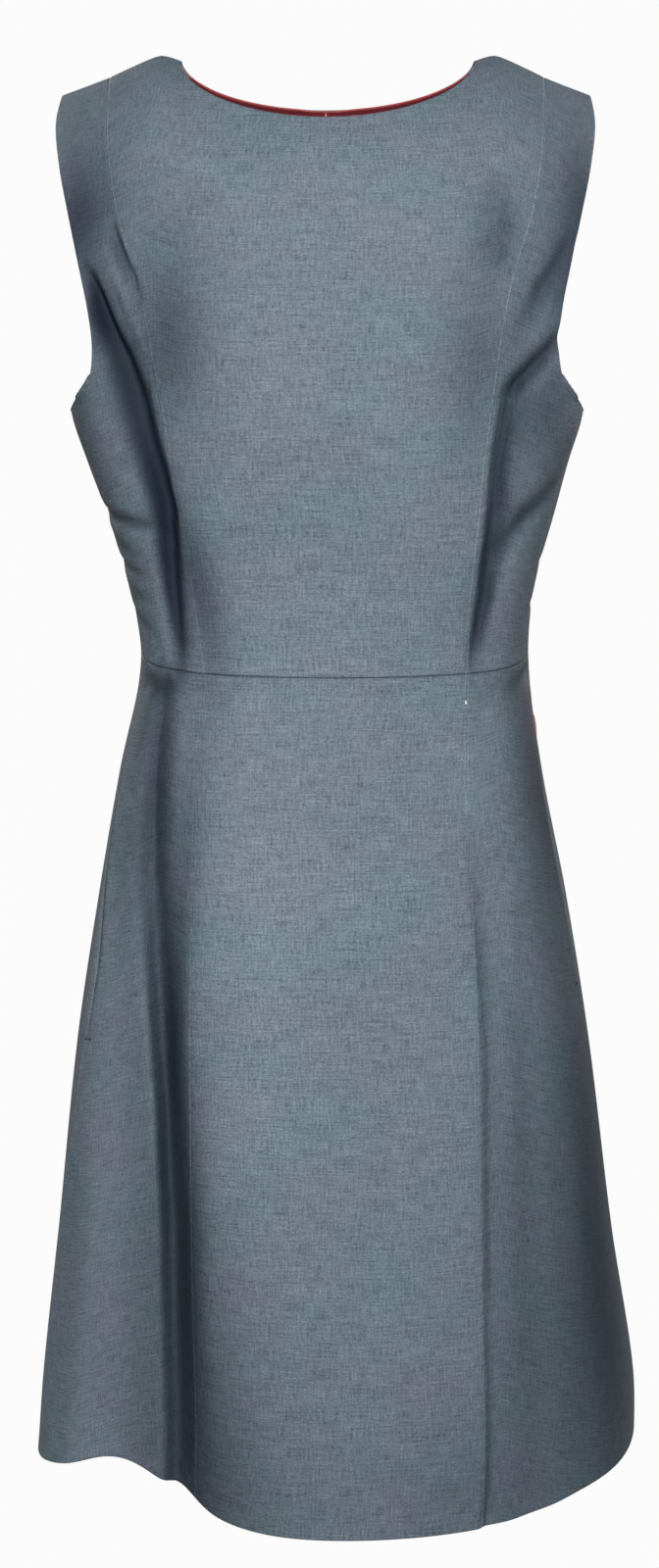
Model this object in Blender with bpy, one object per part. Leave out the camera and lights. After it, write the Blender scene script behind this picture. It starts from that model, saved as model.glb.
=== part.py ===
"""Sleeveless denim dress, filled out as if worn, with nobody inside it.

Fitted bodice with shoulder princess seams, a waist seam, an A-line skirt of three front
panels and two back panels, pockets in the side seams, a red neck facing and a concealed
zip down the centre back.  Metres, +Z up, the front faces -Y, +X is the right-hand side of
somebody looking at the front.  The origin lies between the two shoulders, level with
their highest points, where the dress is held.
"""
import math
from collections import namedtuple

import bmesh
import bpy
from mathutils import Matrix, Vector

MM = 0.001

# Cloth
WALL = 1.5 * MM
THIN_WALL = 1.0 * MM
SEAM_GAP = 0.34 * MM
LAYER_GAP = 0.3 * MM

# Heights, measured down from the shoulder points
WAIST = 394.5 * MM
WAIST_SIDE_RISE = 7.0 * MM
HEM = 961.5 * MM
HEM_SIDE_RISE = 20.0 * MM
NECK_FRONT = 39.4 * MM
NECK_BACK = 34.0 * MM
UNDERARM = 228.0 * MM

# Shoulders
NECK_HALF = 95.0 * MM
NECK_EASE = 0.3
NECK_CURVES = {"front": 1.15, "back": 1.15}
SHOULDER_TIP = 172.0 * MM
SHOULDER_SEAM = 141.0 * MM
SHOULDER_ROUND = 64.0 * MM
RUN_EASE = 300.0 * MM

# Number of cells in each panel
CENTRE_STRAP_CELLS = 2
NECK_CELLS = 6
SIDE_CELLS = 9
BACK_STRAP_CELLS = 5
BODICE_ROWS = 14
SIDE_SEAM_ROWS = 5
SKIRT_ROWS = 15

# Cross-sections of the filled dress.  half_width is from the middle to the side, front and
# back are from the shoulder plane to the centre front and centre back, square makes the
# oval squarer, side_y is where the widest line lies, lean is how far the middle has
# shifted sideways.  All in millimetres but square.
Section = namedtuple("Section", "drop half_width front back square side_y lean")
SECTIONS = (
    Section(0, 184, 68, 66, 0.03, 0, -1.0),
    Section(40, 184, 80, 73, 0.04, 0, -2.5),
    Section(100, 181, 103, 93, 0.05, 0, -3.0),
    Section(160, 176, 119, 103, 0.05, 0, -3.0),
    Section(228, 167, 123, 103, 0.05, 0, -1.5),
    Section(259, 157.5, 121, 101, 0.05, 0, -1.0),
    Section(290, 148, 117, 97, 0.05, 0, 0.5),
    Section(345, 134, 106, 92, 0.04, 0, 1.5),
    Section(394, 129, 100, 92, 0.04, 0, 3.5),
    Section(470, 142, 105, 105, 0.03, 3, 1.0),
    Section(556, 158.5, 113, 118, 0.02, 8, 2.0),
    Section(660, 175.5, 122, 131, 0.01, 14, 2.5),
    Section(795, 192, 137, 150, 0.0, 21, 4.0),
    Section(900, 206.5, 146, 166, 0.0, 27, 6.4),
    Section(961, 209.5, 150, 172, 0.0, 30, 5.0),
)

# Line of the shoulder seams in the front view, the same on both sides.
ShoulderPoint = namedtuple("ShoulderPoint", "out drop")
SHOULDER = (
    ShoulderPoint(0, 4.5),
    ShoulderPoint(93, 4.0),
    ShoulderPoint(101, 1.6),
    ShoulderPoint(108, 0.2),
    ShoulderPoint(116, 2.6),
    ShoulderPoint(130, 8.8),
    ShoulderPoint(144, 15.2),
    ShoulderPoint(172, 25.5),
    ShoulderPoint(185, 30.0),
    ShoulderPoint(240, 30.0),
)

# Armhole edges in the front view, from the shoulder tip to the underarm, a row of cells a step.
ArmholePoint = namedtuple("ArmholePoint", "step drop front_out back_out")
ARMHOLE = (
    ArmholePoint(0, 25.5, 172, 172),
    ArmholePoint(1, 45, 174, 173),
    ArmholePoint(2, 70, 170, 169),
    ArmholePoint(3, 100, 163, 162.5),
    ArmholePoint(4, 130, 156, 157),
    ArmholePoint(5, 158, 150, 153),
    ArmholePoint(6, 183, 147.5, 151.5),
    ArmholePoint(7, 204, 150.5, 153),
    ArmholePoint(8, 218, 161, 161.5),
    ArmholePoint(9, 228, 167, 167),
)

# Lengthwise seams, as the distance out from the middle (front seams) or as the turn in
# degrees from the centre front (side seams).
Seam = namedtuple("Seam", "drop front_out left_side right_side")
SEAMS = (
    Seam(15, 141, 90, 90),
    Seam(60, 138, 90, 90),
    Seam(100, 131, 90, 90),
    Seam(130, 121.5, 90, 90),
    Seam(160, 114, 90, 90),
    Seam(200, 107.5, 90, 90),
    Seam(240, 101.5, 89.5, 89.5),
    Seam(290, 95, 87, 87),
    Seam(340, 89.5, 84, 83),
    Seam(394, 85, 79, 78),
    Seam(440, 86.5, 75, 75),
    Seam(515, 89.5, 74, 75),
    Seam(592, 92.5, 70, 75),
    Seam(700, 94, 70.5, 78),
    Seam(770, 94.5, 73, 80),
    Seam(850, 95, 79, 83),
    Seam(961, 95.5, 86, 86),
)

# Folds.  Each runs down the cloth from the first place to the second, a place being a turn
# in degrees and a drop in millimetres.  A depth goes into the cloth, a negative one stands
# out of it.  sideways is the share of the depth that also moves the cloth across.
Fold = namedtuple("Fold", "name turn_1 drop_1 turn_2 drop_2 wide_1 wide_2 deep_1 deep_2 sideways")
FOLDS = (
    Fold("left armhole drag", -62, 132, -40, 228, 13, 14, 2, 7, 1),
    Fold("left seam hollow", -40, 228, -43, 386, 13, 10, 6, 3, 1),
    Fold("left seam ridge", -50, 150, -46, 205, 9, 9, -2.5, -2.5, 1),
    Fold("right armhole drag", 57, 146, 39, 229, 12, 12, 2, 5, 1),
    Fold("right side drag", 72, 272, 55, 326, 12, 12, 3, 4, 1),
    Fold("right chest hollow", 36, 88, 35, 128, 13, 13, 2.5, 2.5, 1),
    Fold("right seam hollow", 43, 245, 45, 376, 10, 9, 3, 2, 1),
    Fold("left skirt fold", -44, 515, -40, 990, 26, 67, 0, 62, 0),
    Fold("left skirt ridge", -75, 650, -73, 990, 24, 30, 0, -13, 0.3),
    Fold("right skirt fold", 42, 560, 34, 990, 14, 18, 3, 3.5, 0.5),
    Fold("left back flare", -148, 560, -150, 990, 22, 36, 0, 15, 0.6),
    Fold("right back flare", 146, 545, 151, 990, 22, 38, 0, 18, 0.6),
    Fold("left back side flare", -112, 600, -113, 990, 24, 36, 0, 10, 1),
    Fold("right back side flare", 114, 620, 112, 990, 24, 34, 0, 9, 1),
    Fold("left back waist drag", -158, 318, -153, 388, 14, 14, 1, 3, 1),
    Fold("right back waist drag", 156, 305, 152, 388, 14, 13, 1, 3.5, 1),
)
HEM_LIFT_TURN = -41.0
HEM_LIFT_WIDE = 17.0
HEM_LIFT = 18.0 * MM
HEM_CORNER_TURN = -84.0
HEM_CORNER_WIDE = 16.0
HEM_CORNER_DROP = 8.0 * MM

# Pocket mouths in the side seams, the part of the seam left open
Pocket = namedtuple("Pocket", "top foot")
POCKETS = {"left": Pocket(415 * MM, 645 * MM), "right": Pocket(400 * MM, 612 * MM)}
MOUTH_PART = 3.0 * MM
MOUTH_LIFT = 1.2 * MM
MOUTH_BLUNT = 0.7
POCKET_FIRST_ROW = 1
POCKET_FACING_ROWS = 5
POCKET_FACING_CELLS = 2
POCKET_BAG_ROWS = 7
POCKET_BAG_CELLS = 5

# Neck facing
FACING_ROWS = 3
FACING_PROUD = 1.5 * MM
FACING_GAP = 0.6 * MM
FACING_CB_CELL = 0.62

# Zip
ZIP_TAPE_CELLS = 0.5
ZIP_TAPE_WALL = 0.8 * MM
ZIP_SKIRT_ROWS = 5
ZIP_PART = 1.0 * MM
ZIP_PART_ROWS = (1.0, 1.0, 0.3)
SLIDER_ROW = 0.6

# Slider, in millimetres from the middle of its place on the outside of the cloth: half
# sizes across and along the seam, then from and to, measured outwards.
Block = namedtuple("Block", "name half_across half_along near far shift")
SLIDER_BLOCKS = (
    Block("zip_slider", 3.0, 4.5, -4.7, -3.1, 0),
    Block("slider_neck", 0.6, 1.8, -3.4, 0.7, 0),
    Block("slider_crown", 1.5, 2.6, 0.45, 1.05, 0),
    Block("slider_upper_foot", 0.7, 0.7, 0.9, 3.0, -1.9),
    Block("slider_lower_foot", 0.7, 0.7, 0.9, 3.0, 1.9),
    Block("slider_bridge", 0.7, 2.6, 2.45, 3.15, 0),
)
PULL_AXIS_OUT = 1.75 * MM
PULL_THICK = 0.8 * MM
PULL_SETTLE = math.radians(4.0)

# Half of the pull's outline from its top bar to its tail, as across and down, and the
# window that lets it swing round the bridge, in millimetres.
PULL_OUTLINE = (
    (2.3, -0.4), (2.4, 4.2), (1.5, 7.0), (1.4, 10.0), (2.2, 15.0),
    (3.0, 19.5), (3.1, 22.0), (2.5, 24.2), (1.3, 25.4),
)
PULL_WINDOW = (1.1, 0.4, 3.4)

TURN_STEP = 2e-3
RUN_STEP = 5e-4

for old in list(bpy.data.objects):
    bpy.data.objects.remove(old)

dress = bpy.data.collections.new("denim_dress")
bpy.context.scene.collection.children.link(dress)
tools = bpy.data.collections.new("cutters")
bpy.context.scene.collection.children.link(tools)


def material(name, colour, roughness, metallic=0.0):
    made = bpy.data.materials.new(name)
    made.use_nodes = True
    shader = made.node_tree.nodes["Principled BSDF"]
    shader.inputs["Base Color"].default_value = (*colour, 1.0)
    shader.inputs["Roughness"].default_value = roughness
    shader.inputs["Metallic"].default_value = metallic
    return made


def mix(first, second, share):
    return first + (second - first) * share


def read(table, key, column):
    """Smooth value of one column of a table, at a place between its rows."""
    if key <= table[0][0]:
        return getattr(table[0], column)
    if key >= table[-1][0]:
        return getattr(table[-1], column)
    low = max(i for i, row in enumerate(table) if row[0] <= key)
    places = [table[min(max(low + i, 0), len(table) - 1)] for i in (-1, 0, 1, 2)]
    keys = [row[0] for row in places]
    values = [getattr(row, column) for row in places]
    span = keys[2] - keys[1]
    share = (key - keys[1]) / span
    slope_in = (values[2] - values[0]) / (keys[2] - keys[0]) * span
    slope_out = (values[3] - values[1]) / (keys[3] - keys[1]) * span
    square = share * share
    cube = square * share
    return (
        values[1] * (2 * cube - 3 * square + 1)
        + slope_in * (cube - 2 * square + share)
        + values[2] * (3 * square - 2 * cube)
        + slope_out * (cube - square)
    )


def bell(distance, wide):
    return math.exp(-((distance / wide) ** 2))


def share_across(turn, square):
    return (math.sin(turn) + square * math.sin(3 * turn)) / (1 - square)


def out_at(turn, drop):
    """Distance out from the middle, before folds."""
    row = drop / MM
    return read(SECTIONS, row, "half_width") * MM * share_across(turn, read(SECTIONS, row, "square"))


def back_at(turn, drop):
    """Distance behind the shoulder plane, before shoulders and folds."""
    row = drop / MM
    square = read(SECTIONS, row, "square")
    side_y = read(SECTIONS, row, "side_y") * MM
    along = (math.cos(turn) - square * math.cos(3 * turn)) / (1 - square)
    if along < 0:
        deep = read(SECTIONS, row, "back") * MM - side_y
    else:
        deep = read(SECTIONS, row, "front") * MM + side_y
    return side_y - deep * along


def shoulder_drop(out):
    return read(SHOULDER, abs(out) / MM, "drop") * MM


def turn_at(out, drop):
    """Turn at which the cloth in front lies a given distance out from the middle."""
    square = read(SECTIONS, drop / MM, "square")
    wanted = out / (read(SECTIONS, drop / MM, "half_width") * MM)
    low, high = 0.0, math.pi / 2
    for _ in range(30):
        middle = (low + high) / 2
        if share_across(middle, square) < wanted:
            low = middle
        else:
            high = middle
    return (low + high) / 2


def run_at(turn, drop):
    """Length run down the cloth from the shoulder line, which stays smooth over it."""
    fall = max(drop - shoulder_drop(out_at(turn, drop)), 0.0)
    return (fall + math.sqrt(fall * fall + 4 * RUN_EASE * fall)) / 2


def drop_at(turn, run):
    fall = run * run / (run + RUN_EASE)
    drop = fall
    for _ in range(4):
        drop = fall + shoulder_drop(out_at(turn, drop))
    return drop


def fold_push(turn, drop):
    """How far the folds push the cloth, sideways and backwards."""
    push_x = push_y = 0.0
    reach = read(SECTIONS, drop / MM, "half_width")
    here = Vector((math.degrees(turn) * reach * math.pi / 180, drop / MM))
    for fold in FOLDS:
        start = Vector((fold.turn_1 * reach * math.pi / 180, fold.drop_1))
        end = Vector((fold.turn_2 * reach * math.pi / 180, fold.drop_2))
        line = end - start
        share = min(max((here - start).dot(line) / line.dot(line), 0.0), 1.0)
        away = (here - start - line * share).length
        deep = mix(fold.deep_1, fold.deep_2, share) * bell(away, mix(fold.wide_1, fold.wide_2, share))
        push_x -= deep * math.sin(turn) * fold.sideways
        push_y += deep * math.cos(turn)
    return push_x * MM, push_y * MM


def skin(turn, run):
    """Point on the outside of the cloth."""
    drop = drop_at(turn, run)
    x, y = out_at(turn, drop), back_at(turn, drop)
    fall = drop - shoulder_drop(x)
    rounding = 1.0
    if fall < SHOULDER_ROUND:
        rounding = math.sqrt(max(1 - (1 - fall / SHOULDER_ROUND) ** 2, 0.0))
    push_x, push_y = fold_push(turn, drop)
    lean = read(SECTIONS, drop / MM, "lean") * MM
    return Vector((x + lean + push_x, (y + push_y) * rounding, -drop))


def outward(turn, run):
    """Direction square to the cloth, pointing away from the hollow inside."""
    low_run = max(run - RUN_STEP, 0.0)
    round_it = skin(turn + TURN_STEP, run) - skin(turn - TURN_STEP, run)
    down_it = skin(turn, run + RUN_STEP) - skin(turn, low_run)
    return down_it.cross(round_it).normalized()


def seam_turn(column, drop):
    """Turn of a lengthwise seam, counted from the centre front."""
    if column == "centre_back":
        return math.pi
    if column == "front_out":
        return turn_at(read(SEAMS, drop / MM, column) * MM, drop)
    return math.radians(read(SEAMS, drop / MM, column))


def seam_end(column, height, sign):
    """Turn and drop where a seam meets the level that height gives for a signed turn."""
    turn = seam_turn(column, WAIST)
    for _ in range(5):
        drop = height(sign * turn)
        turn = seam_turn(column, drop)
    return turn, drop


def seam_edge(column, top, foot, sign=1):
    """Edge along a lengthwise seam, as turn and run for a share from 0 to 1."""
    top_turn, top_drop = seam_end(column, top, sign)
    foot_turn, foot_drop = seam_end(column, foot, sign)
    run_top, run_foot = run_at(top_turn, top_drop), run_at(foot_turn, foot_drop)

    def place(share):
        run = mix(run_top, run_foot, share)
        turn = mix(top_turn, foot_turn, share)
        for _ in range(4):
            turn = seam_turn(column, drop_at(turn, run))
        return turn, run

    return place


def waist_drop(turn):
    return WAIST - WAIST_SIDE_RISE * math.sin(turn) ** 2


def hem_drop(turn):
    level = HEM - HEM_SIDE_RISE * math.sin(turn) ** 2
    degrees = math.degrees(turn)
    lift = HEM_LIFT * bell(degrees - HEM_LIFT_TURN, HEM_LIFT_WIDE)
    corner = HEM_CORNER_DROP * bell(degrees - HEM_CORNER_TURN, HEM_CORNER_WIDE)
    return level - lift + corner


def neck_place(share, low, side):
    """Place on the neckline, from the shoulder at 0 to the centre at 1."""
    eased = share * share / NECK_EASE if share < NECK_EASE else 2 * share - NECK_EASE
    angle = math.pi / 2 * eased / (2 - NECK_EASE)
    out = NECK_HALF * math.cos(angle)
    drop = mix(shoulder_drop(NECK_HALF), low, math.sin(angle) ** NECK_CURVES[side])
    turn = turn_at(out, drop)
    if side == "back":
        turn = math.pi - turn
    return turn, run_at(turn, drop)


def strap_place(out, side):
    turn = turn_at(out, shoulder_drop(out))
    if side == "back":
        turn = math.pi - turn
    return turn, 0.0


def armhole_place(share, column):
    """Place on an armhole, from the shoulder tip at 0 to the underarm at 1."""
    step = share * ARMHOLE[-1].step
    drop = read(ARMHOLE, step, "drop") * MM
    out = read(ARMHOLE, step, column) * MM
    turn = math.pi / 2 if share >= 1 else turn_at(out, drop)
    if column == "back_out":
        turn = math.pi - turn
    return turn, run_at(turn, drop) if share > 0 else 0.0


def fill(left, right, top, foot, across, down):
    """Places over a whole panel, filled in between its four edges."""
    lefts, rights = ([edge(i / down) for i in range(down + 1)] for edge in (left, right))
    tops, feet = ([edge(i / across) for i in range(across + 1)] for edge in (top, foot))
    places = []
    for row in range(down + 1):
        v = row / down
        line = []
        for cell in range(across + 1):
            u = cell / across
            place = []
            for k in (0, 1):
                value = mix(lefts[row][k], rights[row][k], u)
                value += (1 - v) * (tops[cell][k] - mix(lefts[0][k], rights[0][k], u))
                value += v * (feet[cell][k] - mix(lefts[-1][k], rights[-1][k], u))
                place.append(value)
            line.append(place)
        places.append(line)
    return places


Knot = namedtuple("Knot", "point normal")


def lay(places, side):
    """Turn places into points of the cloth and their outward directions."""
    return [
        [Knot(skin(side * turn, run), outward(side * turn, run)) for turn, run in line]
        for line in places
    ]


def sample(grid, cell, row):
    """Knot between the knots of a panel, so that a layer follows the panel's own facets."""
    column, line = min(int(cell), len(grid[0]) - 2), min(int(row), len(grid) - 2)
    u, v = cell - column, row - line
    near, far = grid[line][column], grid[line][column + 1]
    low, low_far = grid[line + 1][column], grid[line + 1][column + 1]
    point = mix(mix(near.point, far.point, u), mix(low.point, low_far.point, u), v)
    normal = mix(mix(near.normal, far.normal, u), mix(low.normal, low_far.normal, u), v)
    return Knot(point, normal.normalized())


def trim(grid, gap):
    """Draw the edges of a panel back from its seams by half the seam gap."""
    last_row, last_cell = len(grid) - 1, len(grid[0]) - 1
    trimmed = []
    for row, line in enumerate(grid):
        new_line = []
        for cell, knot in enumerate(line):
            point = knot.point.copy()
            beside = {0: 1, last_cell: last_cell - 1}.get(cell)
            if beside is not None:
                point += (line[beside].point - knot.point).normalized() * gap
            beside = {0: 1, last_row: last_row - 1}.get(row)
            if beside is not None:
                point += (grid[beside][cell].point - knot.point).normalized() * gap
            new_line.append(Knot(point, knot.normal))
        trimmed.append(new_line)
    return trimmed


def cloth(name, grid, wall, finish, depth=0.0):
    """Bend a flat slab of cloth onto the knots of a grid, its outside at a given depth."""
    across, down = len(grid[0]) - 1, len(grid) - 1
    slab = bmesh.new()
    bmesh.ops.create_grid(slab, x_segments=across, y_segments=down, size=0.5)
    bmesh.ops.solidify(slab, geom=slab.faces[:], thickness=1.0)
    bmesh.ops.recalc_face_normals(slab, faces=slab.faces[:])
    heights = [vert.co.z for vert in slab.verts]
    middle = (min(heights) + max(heights)) / 2
    for vert in slab.verts:
        knot = grid[round((0.5 - vert.co.y) * down)][round((vert.co.x + 0.5) * across)]
        inside = depth + (wall if vert.co.z < middle else 0.0)
        vert.co = knot.point - knot.normal * inside
    corner, beside, below = grid[1][0], grid[1][1], grid[2][0]
    rightwards, upwards = beside.point - corner.point, corner.point - below.point
    if rightwards.cross(upwards).dot(corner.normal) < 0:
        bmesh.ops.reverse_faces(slab, faces=slab.faces[:])
    return finished(name, slab, finish)


def finished(name, shape, finish, collection=dress):
    mesh = bpy.data.meshes.new(name)
    shape.to_mesh(mesh)
    shape.free()
    mesh.materials.append(finish)
    thing = bpy.data.objects.new(name, mesh)
    collection.objects.link(thing)
    return thing


denim = material("denim", (0.18, 0.22, 0.28), 0.85)
red_lining = material("red_lining", (0.16, 0.012, 0.02), 0.6)
zip_nylon = material("zip_nylon", (0.045, 0.06, 0.09), 0.7)
zip_metal = material("zip_metal", (0.3, 0.31, 0.33), 0.35, 1.0)

SIDES = (("left", -1), ("right", 1))
CENTRE_CELLS = 2 * (CENTRE_STRAP_CELLS + NECK_CELLS)
BACK_CELLS = NECK_CELLS + BACK_STRAP_CELLS


def front_half_top(share):
    """Top edge of the centre panel from the seam at 0 to the centre front at 1."""
    steps = share * (CENTRE_STRAP_CELLS + NECK_CELLS)
    if steps <= CENTRE_STRAP_CELLS:
        return strap_place(mix(SHOULDER_SEAM, NECK_HALF, steps / CENTRE_STRAP_CELLS), "front")
    return neck_place((steps - CENTRE_STRAP_CELLS) / NECK_CELLS, NECK_FRONT, "front")


def outer_strap_top(share):
    """Top edge of a front side panel, from the princess seam to the shoulder tip."""
    return strap_place(mix(SHOULDER_SEAM, SHOULDER_TIP, share), "front")


def back_top(share):
    """Top edge of a back panel from the centre back at 0 to the shoulder tip at 1."""
    steps = share * BACK_CELLS
    if steps <= NECK_CELLS:
        return neck_place(1 - steps / NECK_CELLS, NECK_BACK, "back")
    return strap_place(mix(NECK_HALF, SHOULDER_TIP, (steps - NECK_CELLS) / BACK_STRAP_CELLS), "back")


def centre_top(share):
    """Whole top edge of the centre panel, from the left seam to the right seam."""
    turn, run = front_half_top(1 - abs(2 * share - 1))
    return (turn if share > 0.5 else -turn), run


def mirrored(edge):
    return lambda share: (-edge(share)[0], edge(share)[1])


def level_edge(turn_from, turn_to, height, sign=1):
    """Edge along the waist or the hem between two turns."""

    def place(share):
        turn = mix(turn_from, turn_to, share)
        return turn, run_at(turn, height(sign * turn))

    return place


def outer_edge(armhole_column, seam_column):
    """Edge down an armhole and then down the side seam to the waist."""
    armhole_rows = BODICE_ROWS - SIDE_SEAM_ROWS
    side_seam = seam_edge(seam_column, lambda turn: UNDERARM, waist_drop)

    def place(share):
        row = share * BODICE_ROWS
        if row <= armhole_rows:
            return armhole_place(row / armhole_rows, armhole_column)
        return side_seam((row - armhole_rows) / SIDE_SEAM_ROWS)

    return place


def bodice_panels():
    """Grids of untrimmed knots for the five bodice panels."""
    grids = {}
    princess = seam_edge("front_out", lambda turn: shoulder_drop(SHOULDER_SEAM), waist_drop)
    centre_back = seam_edge("centre_back", lambda turn: NECK_BACK, waist_drop)
    princess_foot = seam_end("front_out", waist_drop, 1)[0]
    waist = level_edge(-princess_foot, princess_foot, waist_drop)
    places = fill(mirrored(princess), princess, centre_top, waist, CENTRE_CELLS, BODICE_ROWS)
    grids["bodice_front_centre"] = lay(places, 1)
    for side, sign in SIDES:
        side_foot = seam_end(side + "_side", waist_drop, 1)[0]
        outer = outer_edge("front_out", side + "_side")
        waist = level_edge(princess_foot, side_foot, waist_drop)
        places = fill(princess, outer, outer_strap_top, waist, SIDE_CELLS, BODICE_ROWS)
        grids["bodice_front_side_" + side] = lay(places, sign)
        outer = outer_edge("back_out", side + "_side")
        waist = level_edge(math.pi, side_foot, waist_drop)
        places = fill(centre_back, outer, back_top, waist, BACK_CELLS, BODICE_ROWS)
        grids["bodice_back_" + side] = lay(places, sign)
    return grids


def skirt_panels():
    """Grids of untrimmed knots for the five skirt panels."""
    grids = {}
    edges = {}
    for side, sign in SIDES:
        for column in ("front_out", side + "_side", "centre_back"):
            waist_turn = seam_end(column, waist_drop, sign)[0]
            hem_turn = seam_end(column, hem_drop, sign)[0]
            edges[side, column] = (seam_edge(column, waist_drop, hem_drop, sign), waist_turn, hem_turn)
    left, right = edges["left", "front_out"], edges["right", "front_out"]
    waist, hem = level_edge(-left[1], right[1], waist_drop), level_edge(-left[2], right[2], hem_drop)
    places = fill(mirrored(left[0]), right[0], waist, hem, CENTRE_CELLS, SKIRT_ROWS)
    grids["skirt_front_centre"] = lay(places, 1)
    for side, sign in SIDES:
        far = edges[side, side + "_side"]
        for name, column, cells in (
            ("skirt_front_side_", "front_out", SIDE_CELLS),
            ("skirt_back_", "centre_back", BACK_CELLS),
        ):
            near = edges[side, column]
            waist = level_edge(near[1], far[1], waist_drop, sign)
            hem = level_edge(near[2], far[2], hem_drop, sign)
            grids[name + side] = lay(fill(near[0], far[0], waist, hem, cells, SKIRT_ROWS), sign)
    return grids


def open_mouth(grid, pocket):
    """Part the side edge of a front skirt panel from the seam and lift it, at the pocket."""
    opened = [list(line) for line in grid]
    for line in opened:
        knot, beside = line[-1], line[-2]
        share = (-knot.point.z - pocket.top) / (pocket.foot - pocket.top)
        if 0 < share < 1:
            gape = math.sin(math.pi * share) ** MOUTH_BLUNT
            inwards = (beside.point - knot.point).normalized()
            point = knot.point + inwards * MOUTH_PART * gape + knot.normal * MOUTH_LIFT * gape
            line[-1] = Knot(point, knot.normal)
    return opened


def part_at_zip(grid):
    """Draw the centre-back edge away from the middle where the slider passes through."""
    parted = [list(line) for line in grid]
    for line, share in zip(parted, ZIP_PART_ROWS):
        inwards = (line[1].point - line[0].point).normalized()
        line[0] = Knot(line[0].point + inwards * ZIP_PART * share, line[0].normal)
    return parted


def pick(grid, cells, rows):
    return [[sample(grid, cell, row) for cell in cells] for row in rows]


def stand_proud(grid, height, columns):
    """Raise the first row of a facing above the neck edge of its panel."""
    raised = [list(line) for line in grid]
    for column in columns:
        knot, below = raised[0][column], raised[1][column]
        upwards = (knot.point - below.point).normalized()
        raised[0][column] = Knot(knot.point + upwards * height, knot.normal)
    return raised


bodice = bodice_panels()
skirt = skirt_panels()

for name, grid in {**bodice, **skirt}.items():
    side = name.rsplit("_", 1)[1]
    if name.startswith("skirt_front_side"):
        grid = open_mouth(grid, POCKETS[side])
    if name.startswith("bodice_back"):
        grid = part_at_zip(grid)
    cloth(name, trim(grid, SEAM_GAP / 2), WALL, denim)

# Neck facing: a red band inside the neckline, its top edge just above the denim's
layer_depth = WALL + LAYER_GAP
facing_depth = WALL + FACING_GAP
facing_rows = range(FACING_ROWS + 1)
facing = pick(bodice["bodice_front_centre"], range(CENTRE_CELLS + 1), facing_rows)
neck_columns = range(CENTRE_STRAP_CELLS + 1, CENTRE_CELLS - CENTRE_STRAP_CELLS)
facing = stand_proud(trim(facing, SEAM_GAP / 2), FACING_PROUD, neck_columns)
cloth("neck_facing_front", facing, THIN_WALL, red_lining, facing_depth)
for side, _ in SIDES:
    cells = [FACING_CB_CELL, *range(1, NECK_CELLS + 3)]
    facing = pick(part_at_zip(bodice["bodice_back_" + side]), cells, facing_rows)
    facing = stand_proud(trim(facing, SEAM_GAP / 2), FACING_PROUD, range(NECK_CELLS))
    cloth("neck_facing_back_" + side, facing, THIN_WALL, red_lining, facing_depth)

# Pockets: a denim facing behind each mouth and a red bag behind that
for side, _ in SIDES:
    panel = skirt["skirt_front_side_" + side]
    rows = range(POCKET_FIRST_ROW, POCKET_FIRST_ROW + POCKET_FACING_ROWS + 1)
    cells = range(SIDE_CELLS - POCKET_FACING_CELLS, SIDE_CELLS + 1)
    facing = trim(pick(panel, cells, rows), SEAM_GAP / 2)
    cloth("pocket_facing_" + side, facing, THIN_WALL, denim, layer_depth)
    rows = range(POCKET_FIRST_ROW, POCKET_FIRST_ROW + POCKET_BAG_ROWS + 1)
    cells = range(SIDE_CELLS - POCKET_BAG_CELLS, SIDE_CELLS + 1)
    bag = trim(pick(panel, cells, rows), SEAM_GAP / 2)
    cloth("pocket_bag_" + side, bag, THIN_WALL, red_lining, layer_depth + THIN_WALL + LAYER_GAP)

# Zip tapes: inside the centre-back edges, through the waist seam
for side, _ in SIDES:
    upper = part_at_zip(bodice["bodice_back_" + side])
    lower = skirt["skirt_back_" + side]
    tape = pick(upper, (0, ZIP_TAPE_CELLS), range(BODICE_ROWS + 1))
    tape += pick(lower, (0, ZIP_TAPE_CELLS), range(1, ZIP_SKIRT_ROWS + 1))
    cloth("zip_tape_" + side, trim(tape, SEAM_GAP / 2), ZIP_TAPE_WALL, zip_nylon, layer_depth)

# Slider: its body is inside, its neck passes between the panel edges, its bridge is outside
upper_knot = bodice["bodice_back_right"][0][0].point
lower_knot = bodice["bodice_back_right"][1][0].point
slope = math.atan2(lower_knot.y - upper_knot.y, upper_knot.z - lower_knot.z)
slider_place = Matrix.Translation(mix(upper_knot, lower_knot, SLIDER_ROW))
slider_place @= Matrix.Rotation(math.pi, 4, "Z") @ Matrix.Rotation(math.pi / 2 - slope, 4, "X")


def block(sizes, collection):
    shape = bmesh.new()
    bmesh.ops.create_cube(shape, size=1.0)
    middle = Vector((0, sizes.shift, (sizes.near + sizes.far) / 2)) * MM
    spread = Vector((2 * sizes.half_across, 2 * sizes.half_along, sizes.far - sizes.near)) * MM
    bmesh.ops.scale(shape, vec=spread, verts=shape.verts)
    bmesh.ops.translate(shape, vec=middle, verts=shape.verts)
    made = finished(sizes.name, shape, zip_metal, collection)
    made.matrix_world = slider_place
    return made


slider = block(SLIDER_BLOCKS[0], dress)
for sizes in SLIDER_BLOCKS[1:]:
    added = block(sizes, tools)
    added.hide_render = True
    added.display_type = "WIRE"
    union = slider.modifiers.new(sizes.name, "BOOLEAN")
    union.operation = "UNION"
    union.solver = "EXACT"
    union.object = added


def outline(curve, points):
    """Closed straight-sided line in a flat curve."""
    line = curve.splines.new("POLY")
    line.points.add(len(points) - 1)
    for place, (across, down) in zip(line.points, points):
        place.co = (across * MM, -down * MM, 0, 1)
    line.use_cyclic_u = True


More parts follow.
